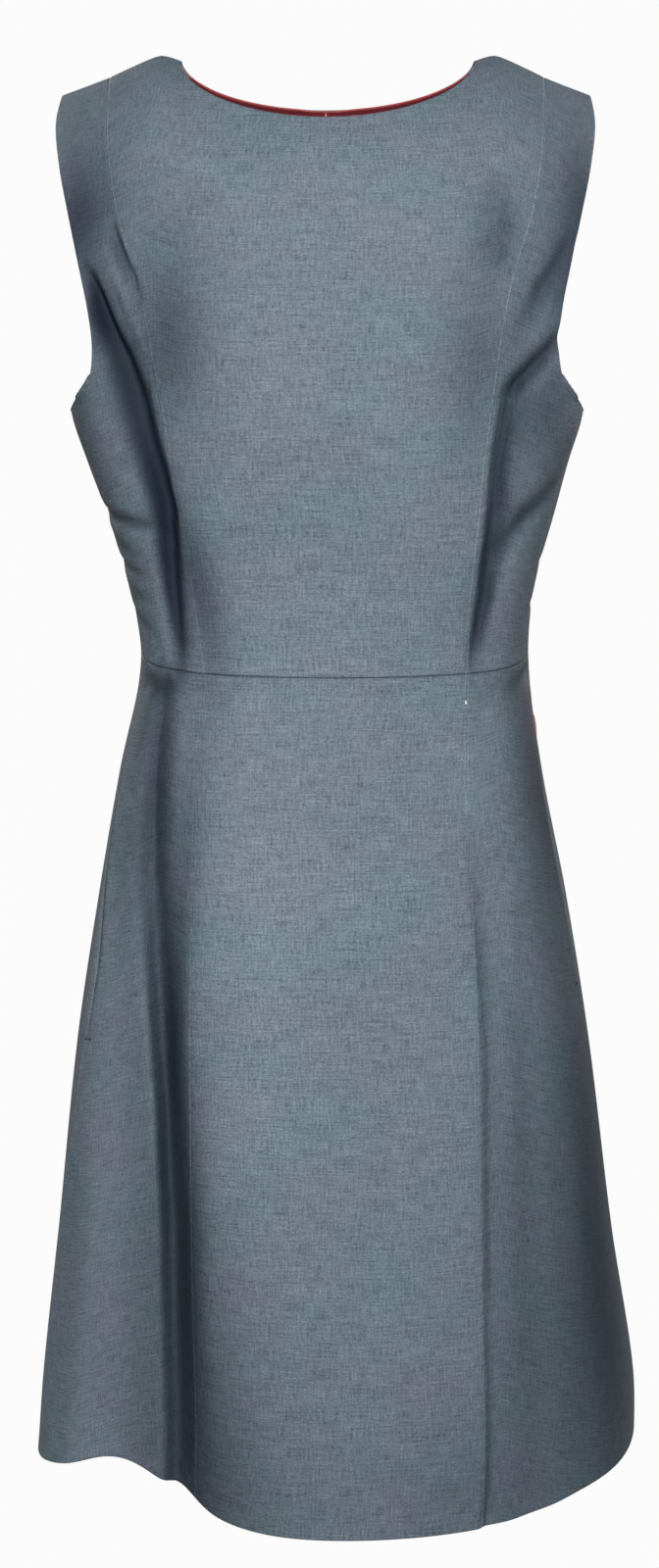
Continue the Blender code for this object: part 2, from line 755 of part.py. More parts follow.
# Pull tab: a flat tab whose top bar hangs under the slider's bridge, with its origin there.
# Its tail settles towards the cloth, which curves away below the slider.
pull_curve = bpy.data.curves.new("zip_pull", "CURVE")
pull_curve.dimensions = "2D"
pull_curve.fill_mode = "BOTH"
pull_curve.extrude = PULL_THICK / 2
outline(pull_curve, PULL_OUTLINE + tuple((-across, down) for across, down in reversed(PULL_OUTLINE)))
half, top, foot = PULL_WINDOW
outline(pull_curve, ((half, top), (half, foot), (-half, foot), (-half, top)))
pull_curve.materials.append(zip_metal)
pull = bpy.data.objects.new("zip_pull", pull_curve)
dress.objects.link(pull)
pull_place = Matrix.Translation((0, 0, PULL_AXIS_OUT)) @ Matrix.Rotation(PULL_SETTLE, 4, "X")
pull.matrix_world = slider_place @ pull_place
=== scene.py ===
"""Looks of a sleeveless denim dress that stands filled out, with nobody inside it.

Metres, +Z up, the front faces -Y. The dress is held at its shoulders, where the origin is.
Left and right are those of somebody looking at the front.
"""
import math
from collections import namedtuple

import bmesh
import bpy
import numpy as np
from mathutils import Matrix, Vector


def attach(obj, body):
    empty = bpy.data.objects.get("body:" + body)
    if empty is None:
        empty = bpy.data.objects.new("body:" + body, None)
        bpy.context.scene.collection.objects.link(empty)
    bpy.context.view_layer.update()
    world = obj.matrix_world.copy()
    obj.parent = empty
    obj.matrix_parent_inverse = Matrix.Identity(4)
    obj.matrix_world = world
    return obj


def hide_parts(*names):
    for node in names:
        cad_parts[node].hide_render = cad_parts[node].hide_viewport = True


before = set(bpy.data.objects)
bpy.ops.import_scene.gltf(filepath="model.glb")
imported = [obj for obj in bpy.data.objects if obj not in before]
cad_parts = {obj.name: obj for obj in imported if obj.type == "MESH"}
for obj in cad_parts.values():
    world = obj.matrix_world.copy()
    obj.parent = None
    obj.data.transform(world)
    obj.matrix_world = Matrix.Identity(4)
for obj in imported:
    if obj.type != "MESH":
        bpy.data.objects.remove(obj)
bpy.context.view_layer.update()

# Centre front of the bodice
# One panel of washed chambray denim from strap to strap, 1.3 mm thick, with a wide boat neck.
# It is sewn to the side fronts by the princess seams, which run from the shoulders over the
# bust to the waist.
MM = 0.001
WALL = 1.3 * MM
WAIST, WAIST_SIDE_RISE = 394.5 * MM, 7.0 * MM
NECK_FRONT, NECK_HALF, NECK_EASE = 39.4 * MM, 95.0 * MM, 0.3
NECK_CURVE = 1.15
SHOULDER_SEAM, SHOULDER_TIP = 141.0 * MM, 172.0 * MM
SHOULDER_ROUND, RUN_EASE = 64.0 * MM, 300.0 * MM

# Cross-sections of the filled dress: half its width, its reach to the front and to the back,
# how square its oval is, where its widest line lies and how far its middle has shifted.
Section = namedtuple("Section", "drop half_width front back square side_y lean")
SECTIONS = (
    Section(0, 184, 68, 66, 0.03, 0, -1.0),
    Section(40, 184, 80, 73, 0.06, 0, -2.5),
    Section(100, 181, 101, 93, 0.09, 0, -3.0),
    Section(160, 176, 116, 103, 0.10, 0, -3.0),
    Section(228, 167, 119, 103, 0.10, 0, -1.5),
    Section(259, 157.5, 117, 101, 0.10, 0, -1.0),
    Section(290, 148, 113, 97, 0.10, 0, 0.5),
    Section(345, 134, 103, 92, 0.09, 0, 1.5),
    Section(394, 129, 98, 92, 0.085, 0, 3.5),
    Section(470, 142, 104, 105, 0.075, 3, 1.0),
    Section(556, 158.5, 112, 118, 0.06, 8, 2.0),
    Section(660, 175.5, 121, 131, 0.05, 14, 2.5),
    Section(795, 192, 136, 150, 0.04, 21, 4.0),
    Section(900, 206.5, 145, 166, 0.03, 27, 6.4),
    Section(961, 209.5, 149, 172, 0.03, 30, 5.0),
)
ShoulderPoint = namedtuple("ShoulderPoint", "out drop")
SHOULDER = (
    ShoulderPoint(0, 4.5),
    ShoulderPoint(93, 4.0),
    ShoulderPoint(101, 1.6),
    ShoulderPoint(108, 0.2),
    ShoulderPoint(116, 2.6),
    ShoulderPoint(130, 8.8),
    ShoulderPoint(144, 15.2),
    ShoulderPoint(172, 25.5),
    ShoulderPoint(185, 30.0),
    ShoulderPoint(240, 30.0),
)

# Lengthwise seams, as millimetres out from the middle or as degrees round from the front.
Seam = namedtuple("Seam", "drop front_out left_side right_side")
SEAMS = (
    Seam(15, 141, 90, 90),
    Seam(60, 138, 90, 90),
    Seam(100, 131, 90, 90),
    Seam(130, 121.5, 90, 90),
    Seam(160, 114, 90, 90),
    Seam(200, 107.5, 90, 90),
    Seam(240, 101.5, 89.5, 89.5),
    Seam(290, 95, 87, 87),
    Seam(340, 89.5, 84, 83),
    Seam(394, 85, 79, 78),
    Seam(440, 86.5, 72, 71.5),
    Seam(515, 89.5, 68.5, 69.5),
    Seam(592, 92.5, 63.5, 73),
    Seam(700, 94, 67.5, 78),
    Seam(770, 94.5, 73, 80),
    Seam(850, 95, 79, 83),
    Seam(961, 95.5, 86, 86),
)

# Folds and creases as lines of places, each a turn in degrees and a drop in millimetres, with
# the fold's width to the left and right of the line. A depth goes into the cloth and a
# negative one stands out of it.
Spot = namedtuple("Spot", "turn drop left right deep")
# A fold's dark share is the painted shade it puts in its hollow.
Fold = namedtuple("Fold", "name sideways places dark", defaults=(0.78,))
FOLDS = (
    Fold("left bodice fold", 0.2, (
        Spot(-46, 130, 5, 4, 0), Spot(-41.5, 139, 6, 4, 6), Spot(-39.2, 151, 9, 3.5, 12),
        Spot(-36.4, 171, 13, 3.5, 16), Spot(-33.6, 189, 16, 4, 17), Spot(-31.8, 210, 17, 4.5, 17),
        Spot(-31.0, 235, 15, 4.5, 17), Spot(-30.8, 259, 13, 4.5, 18), Spot(-31.2, 285, 11, 4.5, 19),
        Spot(-33.8, 310, 10, 5, 17), Spot(-36.5, 336, 9, 5.5, 14), Spot(-38.5, 365, 8, 6, 9),
        Spot(-40, 392, 8, 7, 4),
    ), 0.92),
    Fold("left bust ridge", 0.2, (
        Spot(-37.5, 118, 6, 5, 0), Spot(-33, 150, 4, 4, -3), Spot(-29.5, 181, 3, 2, -1.5),
    )),
    Fold("left princess drag", 0, (
        Spot(-36, 102, 5, 2, 0), Spot(-33.8, 117, 7, 1.8, 6), Spot(-31.8, 130, 7, 1.8, 6),
        Spot(-30.2, 140, 5, 1.8, 4), Spot(-28.7, 160, 4, 2, 0),
    )),
    Fold("right underarm fold", 0.3, (
        Spot(52, 165, 6, 6, 0), Spot(43.9, 175, 6, 6, 5), Spot(37.2, 192, 6, 7, 10),
        Spot(32.5, 204, 5, 6, 9), Spot(29, 213, 3, 4, 2),
    )),
    Fold("right armhole drag", 0.3, (
        Spot(50, 112, 7, 7, 0), Spot(44.2, 122, 7, 7, 3), Spot(37, 147, 8, 8, 6),
        Spot(32.5, 172, 7, 7, 2),
    )),
    Fold("right side hollow", 0.3, (
        Spot(64, 258, 9, 8, 0), Spot(55.6, 271, 9, 8, 4), Spot(42.4, 291, 9, 9, 8),
        Spot(36.5, 312, 8, 9, 4),
    )),
    Fold("right waist fold", 0.1, (
        Spot(34.3, 198, 3, 5, 0), Spot(31.7, 207, 3, 5, 5), Spot(29.9, 222, 3, 6, 8),
        Spot(29.9, 241, 3, 7, 10), Spot(30.7, 266, 3, 8, 11), Spot(31.8, 291, 3.5, 12, 12),
        Spot(33.6, 317, 4, 13, 12), Spot(35, 343, 4, 9, 11), Spot(34, 368, 4, 7, 8),
        Spot(33, 388, 4, 6, 3),
    )),
    Fold("right chest hollow", 0, (Spot(28.5, 84, 12, 7, 2.5), Spot(27, 124, 12, 6, 4.5))),
    Fold("left skirt valley", 0, (
        Spot(-47, 396, 12, 10, 4), Spot(-45, 440, 18, 12, 11), Spot(-42.5, 484, 20, 13, 16),
        Spot(-40.5, 529, 17, 13, 19), Spot(-38.2, 567, 13, 13, 21), Spot(-35.2, 620, 9, 12, 24),
        Spot(-32.4, 680, 8, 12, 25), Spot(-30.2, 760, 8, 13, 25), Spot(-28.8, 860, 9, 15, 24),
        Spot(-27.5, 980, 9, 17, 23),
    ), 0.62),
    Fold("right skirt groove", 0, (
        Spot(28.6, 470, 2.5, 6, 0), Spot(29.6, 520, 2.5, 7, 1.5), Spot(30, 575, 3, 9, 3.5),
        Spot(30, 640, 3, 12, 4), Spot(28.6, 730, 3, 14, 4), Spot(26.6, 860, 3, 16, 4),
        Spot(25, 980, 3, 16, 4),
    )),
    Fold("right skirt flat", 0, (
        Spot(52, 520, 24, 30, 0), Spot(52, 620, 34, 44, 7), Spot(50, 760, 40, 60, 12),
        Spot(49, 980, 44, 80, 15),
    )),
    Fold("left skirt fold", 0, (Spot(-44, 515, 26, 26, 0), Spot(-40, 990, 67, 67, 62))),
    Fold("left skirt ridge", 0.3, (
        Spot(-70, 450, 18, 20, 0), Spot(-66, 560, 20, 24, -6), Spot(-66, 660, 22, 28, -9),
        Spot(-72, 780, 24, 30, -9), Spot(-73, 990, 30, 30, -13),
    )),
    Fold("right skirt fold", 0.5, (Spot(42, 560, 14, 14, 3), Spot(34, 990, 18, 18, 3.5))),
    Fold("left back flare", 0.6, (Spot(-148, 560, 22, 22, 0), Spot(-150, 990, 36, 36, 15))),
    Fold("right back flare", 0.6, (Spot(146, 545, 22, 22, 0), Spot(151, 990, 38, 38, 18))),
    Fold("left back side flare", 1, (Spot(-112, 600, 24, 24, 0), Spot(-113, 990, 36, 36, 10))),
    Fold("right back side flare", 1, (Spot(114, 620, 24, 24, 0), Spot(112, 990, 34, 34, 9))),
    Fold("left back waist drag", 1, (Spot(-158, 318, 14, 14, 1), Spot(-153, 388, 14, 14, 3))),
    Fold("right back waist drag", 1, (Spot(156, 305, 14, 14, 1), Spot(152, 388, 13, 13, 3.5))),
    Fold("left side crease, upper", 0.6, (
        Spot(-80, 290, 5, 5, 3.5), Spot(-61, 293, 4.5, 4.5, 6), Spot(-47, 294, 4, 4, 7.5),
        Spot(-39, 297, 4, 4, 5), Spot(-33, 301, 4, 4, 1),
    ), 0.65),
    Fold("left side crease, second", 0.6, (
        Spot(-73, 307, 5, 5, 0.5), Spot(-60, 314, 4, 4, 4), Spot(-46, 316, 3, 3, 0.5),
    ), 0.5),
    Fold("left side crease, third", 0.6, (
        Spot(-88, 322, 6, 6, 0.5), Spot(-72, 325, 4.5, 4.5, 3.5),
        Spot(-58, 328, 3.5, 3.5, 5), Spot(-45, 329, 3, 3, 0.5),
    ), 0.5),
    Fold("left side crease, fourth", 0.6, (
        Spot(-68, 351, 5, 5, 0.5), Spot(-57, 346, 3.5, 3.5, 4), Spot(-46, 344, 3, 3, 0.5),
    ), 0.5),
    Fold("left side crease, lowest", 0.6, (
        Spot(-80, 358, 7, 7, 1), Spot(-62, 364, 4, 4, 4), Spot(-48, 368, 3, 3, 0.5),
    ), 0.5),
    Fold("left waist tuck", 1, (Spot(-62, 404, 7, 7, 2.4), Spot(-45, 400, 5, 5, 1.2))),
    Fold("right waist tuck", 1, (Spot(50, 404, 6, 6, 1.2), Spot(72, 398, 7, 7, 2.4))),
    Fold("right side crease, upper", 1, (Spot(84, 318, 5, 5, 1.6), Spot(62, 330, 5, 5, 0.6))),
    Fold("right side crease, lower", 1, (Spot(83, 352, 5, 5, 1.6), Spot(60, 356, 4, 4, 0.5))),
    Fold("left hip drag", 1, (Spot(-24, 452, 8, 8, 0.5), Spot(-10, 446, 10, 10, 0.3))),
    Fold("right hip drag", 1, (Spot(12, 432, 10, 10, 0.3), Spot(30, 426, 8, 8, 0.6))),
    Fold("left back crease, upper", 1, (Spot(-98, 300, 6, 6, 1.8), Spot(-122, 312, 5, 5, 0.6))),
    Fold("left back crease, lower", 1, (Spot(-96, 344, 6, 6, 2.0), Spot(-126, 352, 5, 5, 0.6))),
    Fold("right back crease, upper", 1, (Spot(97, 308, 6, 6, 1.7), Spot(120, 318, 5, 5, 0.6))),
    Fold("right back crease, lower", 1, (Spot(98, 350, 6, 6, 2.0), Spot(128, 346, 5, 5, 0.7))),
    Fold("left back waist tuck", 1, (Spot(-140, 404, 7, 7, 2.2), Spot(-116, 402, 6, 6, 1.0))),
    Fold("right back waist tuck", 1, (Spot(136, 403, 7, 7, 2.0), Spot(112, 405, 6, 6, 1.2))),
    Fold("left shoulder blade drag", 1, (
        Spot(-132, 205, 14, 14, 1.5), Spot(-150, 262, 16, 16, 2.0),
    )),
    Fold("right shoulder blade drag", 1, (
        Spot(134, 198, 14, 14, 1.4), Spot(149, 255, 16, 16, 2.0),
    )),
)


# Painted light and shade on the cloth: painted light where it stands proud, and painted shade in
# its hollows, under the arms and down the right side.
Fading = namedtuple("Fading", "name turn drop turn_reach drop_reach amount")
PAINTED_SHADING = (
    Fading("left bodice fold, upper", -35.5, 200, 6, 40, -0.75),
    Fading("left bodice fold, middle", -32.5, 262, 4.5, 45, -0.75),
    Fading("left bodice fold, lower", -35.5, 325, 5, 50, -0.45),
    Fading("left bodice fold, head", -40, 162, 5, 22, -0.65),
    Fading("beside the left princess seam", -27.5, 335, 5, 60, -0.60),
    Fading("left armhole", -60, 150, 16, 45, -0.65),
    Fading("left shoulder", -44, 98, 12, 40, -0.70),
    Fading("left of the bust", -24, 175, 7, 60, -0.65),
    Fading("right princess seam, middle", 33, 225, 3.5, 45, -0.40),
    Fading("right waist fold", 34.5, 325, 5, 60, -0.55),
    Fading("right side hollow", 44, 285, 10, 26, -0.10),
    Fading("right underarm fold", 41, 222, 7, 30, -0.50),
    Fading("right armhole drag", 45, 145, 11, 45, -0.65),
    Fading("right chest hollow", 28.5, 108, 4.5, 26, -0.25),
    Fading("right of the bust", 24, 190, 7, 70, -0.45),
    Fading("right shoulder", 54, 92, 14, 40, -0.55),
    Fading("painted light above the waist", 0, 345, 24, 50, 0.15),
    Fading("left skirt valley, upper", -45, 490, 8, 70, -0.65),
    Fading("left skirt valley, middle", -40.5, 550, 4, 60, 0.05),
    Fading("under the waist seam, left", -50, 403, 14, 10, -0.55),
    Fading("under the waist seam, right", 50, 403, 14, 10, -0.20),
    Fading("left skirt valley, lower", -32, 680, 3.2, 120, -0.65),
    Fading("left skirt valley, foot", -28.5, 880, 4.2, 150, -0.30),
    Fading("centre panel, left foot", -21, 910, 7, 120, -0.35),
    Fading("painted light, centre of the skirt", 0, 570, 24, 150, 0.10),
    Fading("painted light beside the left skirt seam", -14, 600, 10, 130, 0.15),
    Fading("left skirt ridge, upper", -58, 640, 12, 140, 0.10),
    Fading("left skirt ridge, lower", -76, 850, 8, 140, 0.30),
    Fading("hem, left", -56, 940, 14, 60, 0.05),
    Fading("right panel, painted light", 39, 575, 3, 40, 0.30),
    Fading("right hip", 64, 460, 14, 110, -0.75),
    Fading("right side of the skirt, upper", 66, 680, 16, 130, -0.50),
    Fading("right side seam", 84, 700, 12, 220, -0.20),
    Fading("right side of the skirt, lower", 62, 860, 20, 150, -0.70),
    Fading("beside the right skirt seam", 33, 800, 8, 180, -0.20),
    Fading("hem, right of the middle", 20, 940, 14, 70, -0.25),
    Fading("hem, left of the middle", -12, 950, 16, 60, -0.20),
    Fading("left armhole, behind", -112, 180, 14, 60, -0.20),
    Fading("right armhole, behind", 112, 170, 14, 60, -0.20),
    Fading("left hip, behind", -118, 560, 16, 160, -0.15),
    Fading("right hip, behind", 120, 640, 16, 180, -0.15),
    Fading("painted light on the seat, right half", 180, 520, 26, 110, 0.10),
    Fading("painted light on the seat, left half", -180, 520, 26, 110, 0.10),
    Fading("left back flare", -150, 820, 9, 150, 0.10),
    Fading("right back flare", 150, 800, 9, 150, 0.10),
    Fading("left back hollow", -133, 860, 8, 130, -0.15),
    Fading("right back hollow", 134, 860, 8, 130, -0.15),
    Fading("left skirt valley, flank by the seam", -30, 500, 4, 90, -0.35),
    Fading("left skirt valley, low flank", -26, 780, 3.5, 120, -0.40),
    Fading("left hip", -54, 430, 10, 26, -0.30),
    Fading("left underarm", -58, 235, 14, 40, -0.25),
    Fading("right underarm", 56, 250, 12, 36, -0.30),
)


def mix(first, second, share):
    return first + (second - first) * share


def bell(distance, wide):
    return np.exp(-((distance / wide) ** 2))


def read(table, place, column):
    """Smooth values of one column of a table, at places between its rows."""
    rows = np.array([row[0] for row in table], dtype=float)
    values = np.array([getattr(row, column) for row in table], dtype=float)
    place = np.clip(place, rows[0], rows[-1])
    low = np.clip(np.searchsorted(rows, place, side="right") - 1, 0, len(rows) - 2)
    before, after = np.maximum(low - 1, 0), np.minimum(low + 2, len(rows) - 1)
    span = rows[low + 1] - rows[low]
    share = (place - rows[low]) / span
    slope_in = (values[low + 1] - values[before]) / (rows[low + 1] - rows[before]) * span
    slope_out = (values[after] - values[low]) / (rows[after] - rows[low]) * span
    square, cube = share**2, share**3
    return (
        values[low] * (2 * cube - 3 * square + 1)
        + slope_in * (cube - 2 * square + share)
        + values[low + 1] * (3 * square - 2 * cube)
        + slope_out * (cube - square)
    )


def share_across(turn, square):
    return (np.sin(turn) + square * np.sin(3 * turn)) / (1 - square)


def out_at(turn, drop):
    square = read(SECTIONS, drop / MM, "square")
    return read(SECTIONS, drop / MM, "half_width") * MM * share_across(turn, square)


def back_at(turn, drop):
    square = read(SECTIONS, drop / MM, "square")
    side_y = read(SECTIONS, drop / MM, "side_y") * MM
    along = (np.cos(turn) - square * np.cos(3 * turn)) / (1 - square)
    behind = read(SECTIONS, drop / MM, "back") * MM - side_y
    ahead = read(SECTIONS, drop / MM, "front") * MM + side_y
    return side_y - np.where(along < 0, behind, ahead) * along


def shoulder_drop(out):
    return read(SHOULDER, np.abs(out) / MM, "drop") * MM


HALVINGS, SETTLINGS = 30, 4


def turn_at(out, drop):
    """Turn at which the cloth in front lies a given distance out from the middle."""
    square = read(SECTIONS, drop / MM, "square")
    wanted = out / (read(SECTIONS, drop / MM, "half_width") * MM)
    low, high = np.zeros_like(wanted), np.full_like(wanted, math.pi / 2)
    for _ in range(HALVINGS):
        middle = (low + high) / 2
        short = share_across(middle, square) < wanted
        low, high = np.where(short, middle, low), np.where(short, high, middle)
    return (low + high) / 2


def run_at(turn, drop):
    """Length run down the cloth from the shoulder line."""
    fall = np.maximum(drop - shoulder_drop(out_at(turn, drop)), 0.0)
    return (fall + np.sqrt(fall * fall + 4 * RUN_EASE * fall)) / 2


def drop_at(turn, run):
    fall = run * run / (run + RUN_EASE)
    drop = fall
    for _ in range(SETTLINGS):
        drop = fall + shoulder_drop(out_at(turn, drop))
    return drop


# Painted shade of the folds: a hollow of this depth and width, in millimetres, takes the whole of
# its fold's painted shade. A narrower one takes it sooner, up to the gain squared, and a ridge gets
# painted light by a small share.
HOLLOW_DEEP, HOLLOW_WIDE, NARROW_GAIN, RIDGE_PALER = 14.0, 12.0, 1.35, 0.12


def along_fold(fold, across, down, reach):
    """Depth of one fold at some places, and the width it has there."""
    nearest = np.full_like(across, np.inf)
    deep, wide = np.zeros_like(across), np.ones_like(across)
    for start, end in zip(fold.places, fold.places[1:]):
        line_x, line_y = (end.turn - start.turn) * reach, end.drop - start.drop
        from_x, from_y = across - start.turn * reach, down - start.drop
        share = (from_x * line_x + from_y * line_y) / (line_x**2 + line_y**2)
        share = np.clip(share, 0.0, 1.0)
        away = np.hypot(from_x - line_x * share, from_y - line_y * share)
        is_right = from_x * line_y > from_y * line_x
        on_left, on_right = mix(start.left, end.left, share), mix(start.right, end.right, share)
        width = np.where(is_right, on_right, on_left)
        closer = away < nearest
        deep = np.where(closer, mix(start.deep, end.deep, share) * bell(away, width), deep)
        wide = np.where(closer, width, wide)
        nearest = np.minimum(nearest, away)
    return deep, wide


def fold_push(turn, drop):
    """How far the folds push the cloth sideways and backwards, and the painted shade in their
    hollows with painted light on their ridges.
    """
    reach = read(SECTIONS, drop / MM, "half_width") * math.pi / 180
    across, down = np.degrees(turn) * reach, drop / MM
    push_x, push_y, tone = np.zeros_like(across), np.zeros_like(across), np.ones_like(across)
    for fold in FOLDS:
        deep, wide = along_fold(fold, across, down, reach)
        push_x -= deep * np.sin(turn) * fold.sideways
        push_y += deep * np.cos(turn)
        hollow = deep * np.clip(HOLLOW_WIDE / wide, 0, NARROW_GAIN) ** 2 / HOLLOW_DEEP
        tone *= 1 - fold.dark * np.clip(hollow, -RIDGE_PALER, 1.0)
    return push_x * MM, push_y * MM, tone


def painted_shading(turn, drop):
    """Painted light and shade on the cloth, as a share paler or darker than elsewhere."""
    change = np.zeros_like(drop)
    for spot in PAINTED_SHADING:
        across = (np.degrees(turn) - spot.turn) / spot.turn_reach
        down = (drop / MM - spot.drop) / spot.drop_reach
        change += spot.amount * np.exp(-(across**2) - down**2)
    return change


def skin(turn, run):
    """Points on the outside of the cloth, as an array with x, y and z last."""
    drop = drop_at(turn, run)
    x, y = out_at(turn, drop), back_at(turn, drop)
    fall = np.clip((drop - shoulder_drop(x)) / SHOULDER_ROUND, 0.0, 1.0)
    push_x, push_y, _ = fold_push(turn, drop)
    lean = read(SECTIONS, drop / MM, "lean") * MM
    rounding = np.sqrt(1 - (1 - fall) ** 2)
    return np.stack((x + lean + push_x, (y + push_y) * rounding, -drop), axis=-1)


def seam_turn(column, drop):
    if column == "centre_back":
        return np.full_like(drop, math.pi)
    if column == "front_out":
        return turn_at(read(SEAMS, drop / MM, column) * MM, drop)
    return np.radians(read(SEAMS, drop / MM, column))


def seam_end(column, height, sign):
    """Turn and drop where a seam meets the level that height gives for a signed turn."""
    turn = seam_turn(column, np.array(WAIST))
    for _ in range(SETTLINGS + 1):
        drop = height(sign * turn)
        turn = seam_turn(column, drop)
    return turn, drop


def seam_edge(column, top, foot, sign=1):
    top_turn, top_drop = seam_end(column, top, sign)
    foot_turn, foot_drop = seam_end(column, foot, sign)
    run_top, run_foot = run_at(top_turn, top_drop), run_at(foot_turn, foot_drop)

    def place(share):
        run = mix(run_top, run_foot, share)
        turn = mix(top_turn, foot_turn, share)
        for _ in range(SETTLINGS):
            turn = seam_turn(column, drop_at(turn, run))
        return turn, run

    return place


def waist_drop(turn):
    return WAIST - WAIST_SIDE_RISE * np.sin(turn) ** 2


def level_edge(turn_from, turn_to, height, sign=1):
    def place(share):
        turn = mix(turn_from, turn_to, share)
        return turn, run_at(turn, height(sign * turn))

    return place


def neck_place(share, low, side):
    """Places on the neckline, from the shoulder at 0 to the centre at 1."""
    share = np.clip(share, 0.0, 1.0)
    eased = np.where(share < NECK_EASE, share * share / NECK_EASE, 2 * share - NECK_EASE)
    angle = math.pi / 2 * eased / (2 - NECK_EASE)
    out = NECK_HALF * np.cos(angle)
    drop = mix(shoulder_drop(NECK_HALF), low, np.sin(angle) ** NECK_CURVE)
    turn = turn_at(out, drop)
    return (math.pi - turn if side == "back" else turn), run_at(turn, drop)


def strap_place(out, side):
    turn = turn_at(out, shoulder_drop(out))
    return (math.pi - turn if side == "back" else turn), np.zeros_like(turn)


def either(is_first, first, second):
    return tuple(np.where(is_first, a, b) for a, b in zip(first, second))


def mirrored(edge):
    return lambda share: (-edge(share)[0], edge(share)[1])


STRAP_SHARE = 0.25


def front_half_top(share):
    """Top edge of the centre panel from the seam at 0 to the centre front at 1."""
    strap = strap_place(mix(SHOULDER_SEAM, NECK_HALF, np.clip(share / STRAP_SHARE, 0, 1)), "front")
    neck = neck_place((share - STRAP_SHARE) / (1 - STRAP_SHARE), NECK_FRONT, "front")
    return either(share <= STRAP_SHARE, strap, neck)


def centre_top(share):
    turn, run = front_half_top(1 - np.abs(2 * share - 1))
    return np.where(share > 0.5, turn, -turn), run


# A panel's edges roll in at its seams, where the steps between its points are closer, and its seam
# allowances show faintly through. Its rubbed edges are paler, and painted shade darkens the edges
# that sink in at a seam.
EDGE_STEPS = np.array((0.4, 0.8, 1.5)) * MM
ROLL_WIDE, ROLL_DEEP = 1.5 * MM, 0.55 * MM
ALLOWANCE_FROM, ALLOWANCE_FADE, ALLOWANCE_RISE = 3.0 * MM, 6.875 * MM, 0.22 * MM
EDGE_WEAR_AND_SHADE_WIDE = 0.8 * MM


def steps_over(count, length):
    even = np.linspace(0, 1, count + 1)
    fine = EDGE_STEPS / length
    return np.concatenate((even[:1], fine, even[1:-1], 1 - fine[::-1], even[-1:]))


TOP_EASE = 6


def fill(left, right, top, foot, across, down):
    """Places over a whole panel, filled in between its four edges."""
    ends = np.array((0.0, 1.0))
    turns_and_runs = []
    for k in (0, 1):
        lefts, rights = left(down)[k][:, None], right(down)[k][:, None]
        tops, feet = top(across)[k][None, :], foot(across)[k][None, :]
        corner_left, corner_right = left(ends)[k], right(ends)[k]
        u, v = across[None, :], down[:, None]
        value = mix(lefts, rights, u)
        ease = (1 - v) ** (TOP_EASE if k == 0 else 1)
        value = value + ease * (tops - mix(corner_left[0], corner_right[0], u))
        value = value + v * (feet - mix(corner_left[1], corner_right[1], u))
        turns_and_runs.append(value)
    return turns_and_runs


def lengths(points, axis):
    """Length run along the rows or the columns of a grid of points, from its first edge."""
    pieces = np.linalg.norm(np.diff(points, axis=axis), axis=-1)
    started = np.insert(pieces, 0, 0.0, axis=axis)
    return np.cumsum(started, axis=axis)


LEAST_RUN, SMALL_TURN, SMALL_RUN = 1.5 * MM, 0.004, 0.4 * MM


def square_to(turn, run):
    """Outward directions of the cloth at some places."""
    run = np.maximum(run, LEAST_RUN)
    across = skin(turn + SMALL_TURN, run) - skin(turn - SMALL_TURN, run)
    down = skin(turn, run + SMALL_RUN) - skin(turn, run - SMALL_RUN)
    normals = np.cross(down, across)
    return normals / np.linalg.norm(normals, axis=-1, keepdims=True)


Panel = namedtuple("Panel", "points normals across down cut wash")


def panel(left, right, top, foot, cells, size, sign=1):
    """Grid of points between a panel's four edges, with its cells across and down.

    Its rough size, across and down, sets how close the steps beside its edges are.
    """
    across, down = steps_over(cells[0], size[0]), steps_over(cells[1], size[1])
    turn, run = fill(left, right, top, foot, across, down)
    turn = sign * turn
    drop = drop_at(turn, run)
    flat_out = turn * read(SECTIONS, drop / MM, "half_width") * MM
    # Painted shade in the folds, and painted light and shade from the table of spots.
    wash = fold_push(turn, drop)[2] * (1 + painted_shading(turn, drop))
    cut = np.stack((flat_out, -run), axis=-1)
    return measured(skin(turn, run), square_to(turn, run), cut, wash)


def measured(points, normals, cut, wash):
    return Panel(points, normals, lengths(points, 1), lengths(points, 0), cut, wash)


def edge_distances(cloth):
    """How far each point of a panel lies from its left, right, top and bottom edges."""
    width, length = cloth.across[:, -1:], cloth.down[-1:, :]
    return cloth.across, width - cloth.across, cloth.down, length - cloth.down


def tailored(cloth):
    """Panel with its edges rolled in and its seam allowances showing faintly through."""
    roll = np.zeros(cloth.across.shape)
    ridge = np.zeros(cloth.across.shape)
    for away in edge_distances(cloth):
        roll = np.maximum(roll, ROLL_DEEP * np.clip(1 - away / ROLL_WIDE, 0, 1) ** 2)
        inside = np.maximum(away - ALLOWANCE_FROM, 0)
        ridge = np.maximum(ridge, ALLOWANCE_RISE * bell(inside, ALLOWANCE_FADE))
    return cloth._replace(points=cloth.points + cloth.normals * (ridge - roll)[..., None])


def worn_and_seam_shaded(cloth, sides=0.0, top=0.0, foot=0.0):
    """Panel whose edges are paler where they are rubbed, and darker with painted shade where they
    sink in at a seam.
    """
    left, right, above, below = edge_distances(cloth)
    wash = cloth.wash * (1 + sides * bell(np.minimum(left, right), EDGE_WEAR_AND_SHADE_WIDE))
    wash *= (1 + top * bell(above, EDGE_WEAR_AND_SHADE_WIDE)) * (1 + foot * bell(below, EDGE_WEAR_AND_SHADE_WIDE))
    return cloth._replace(wash=wash)


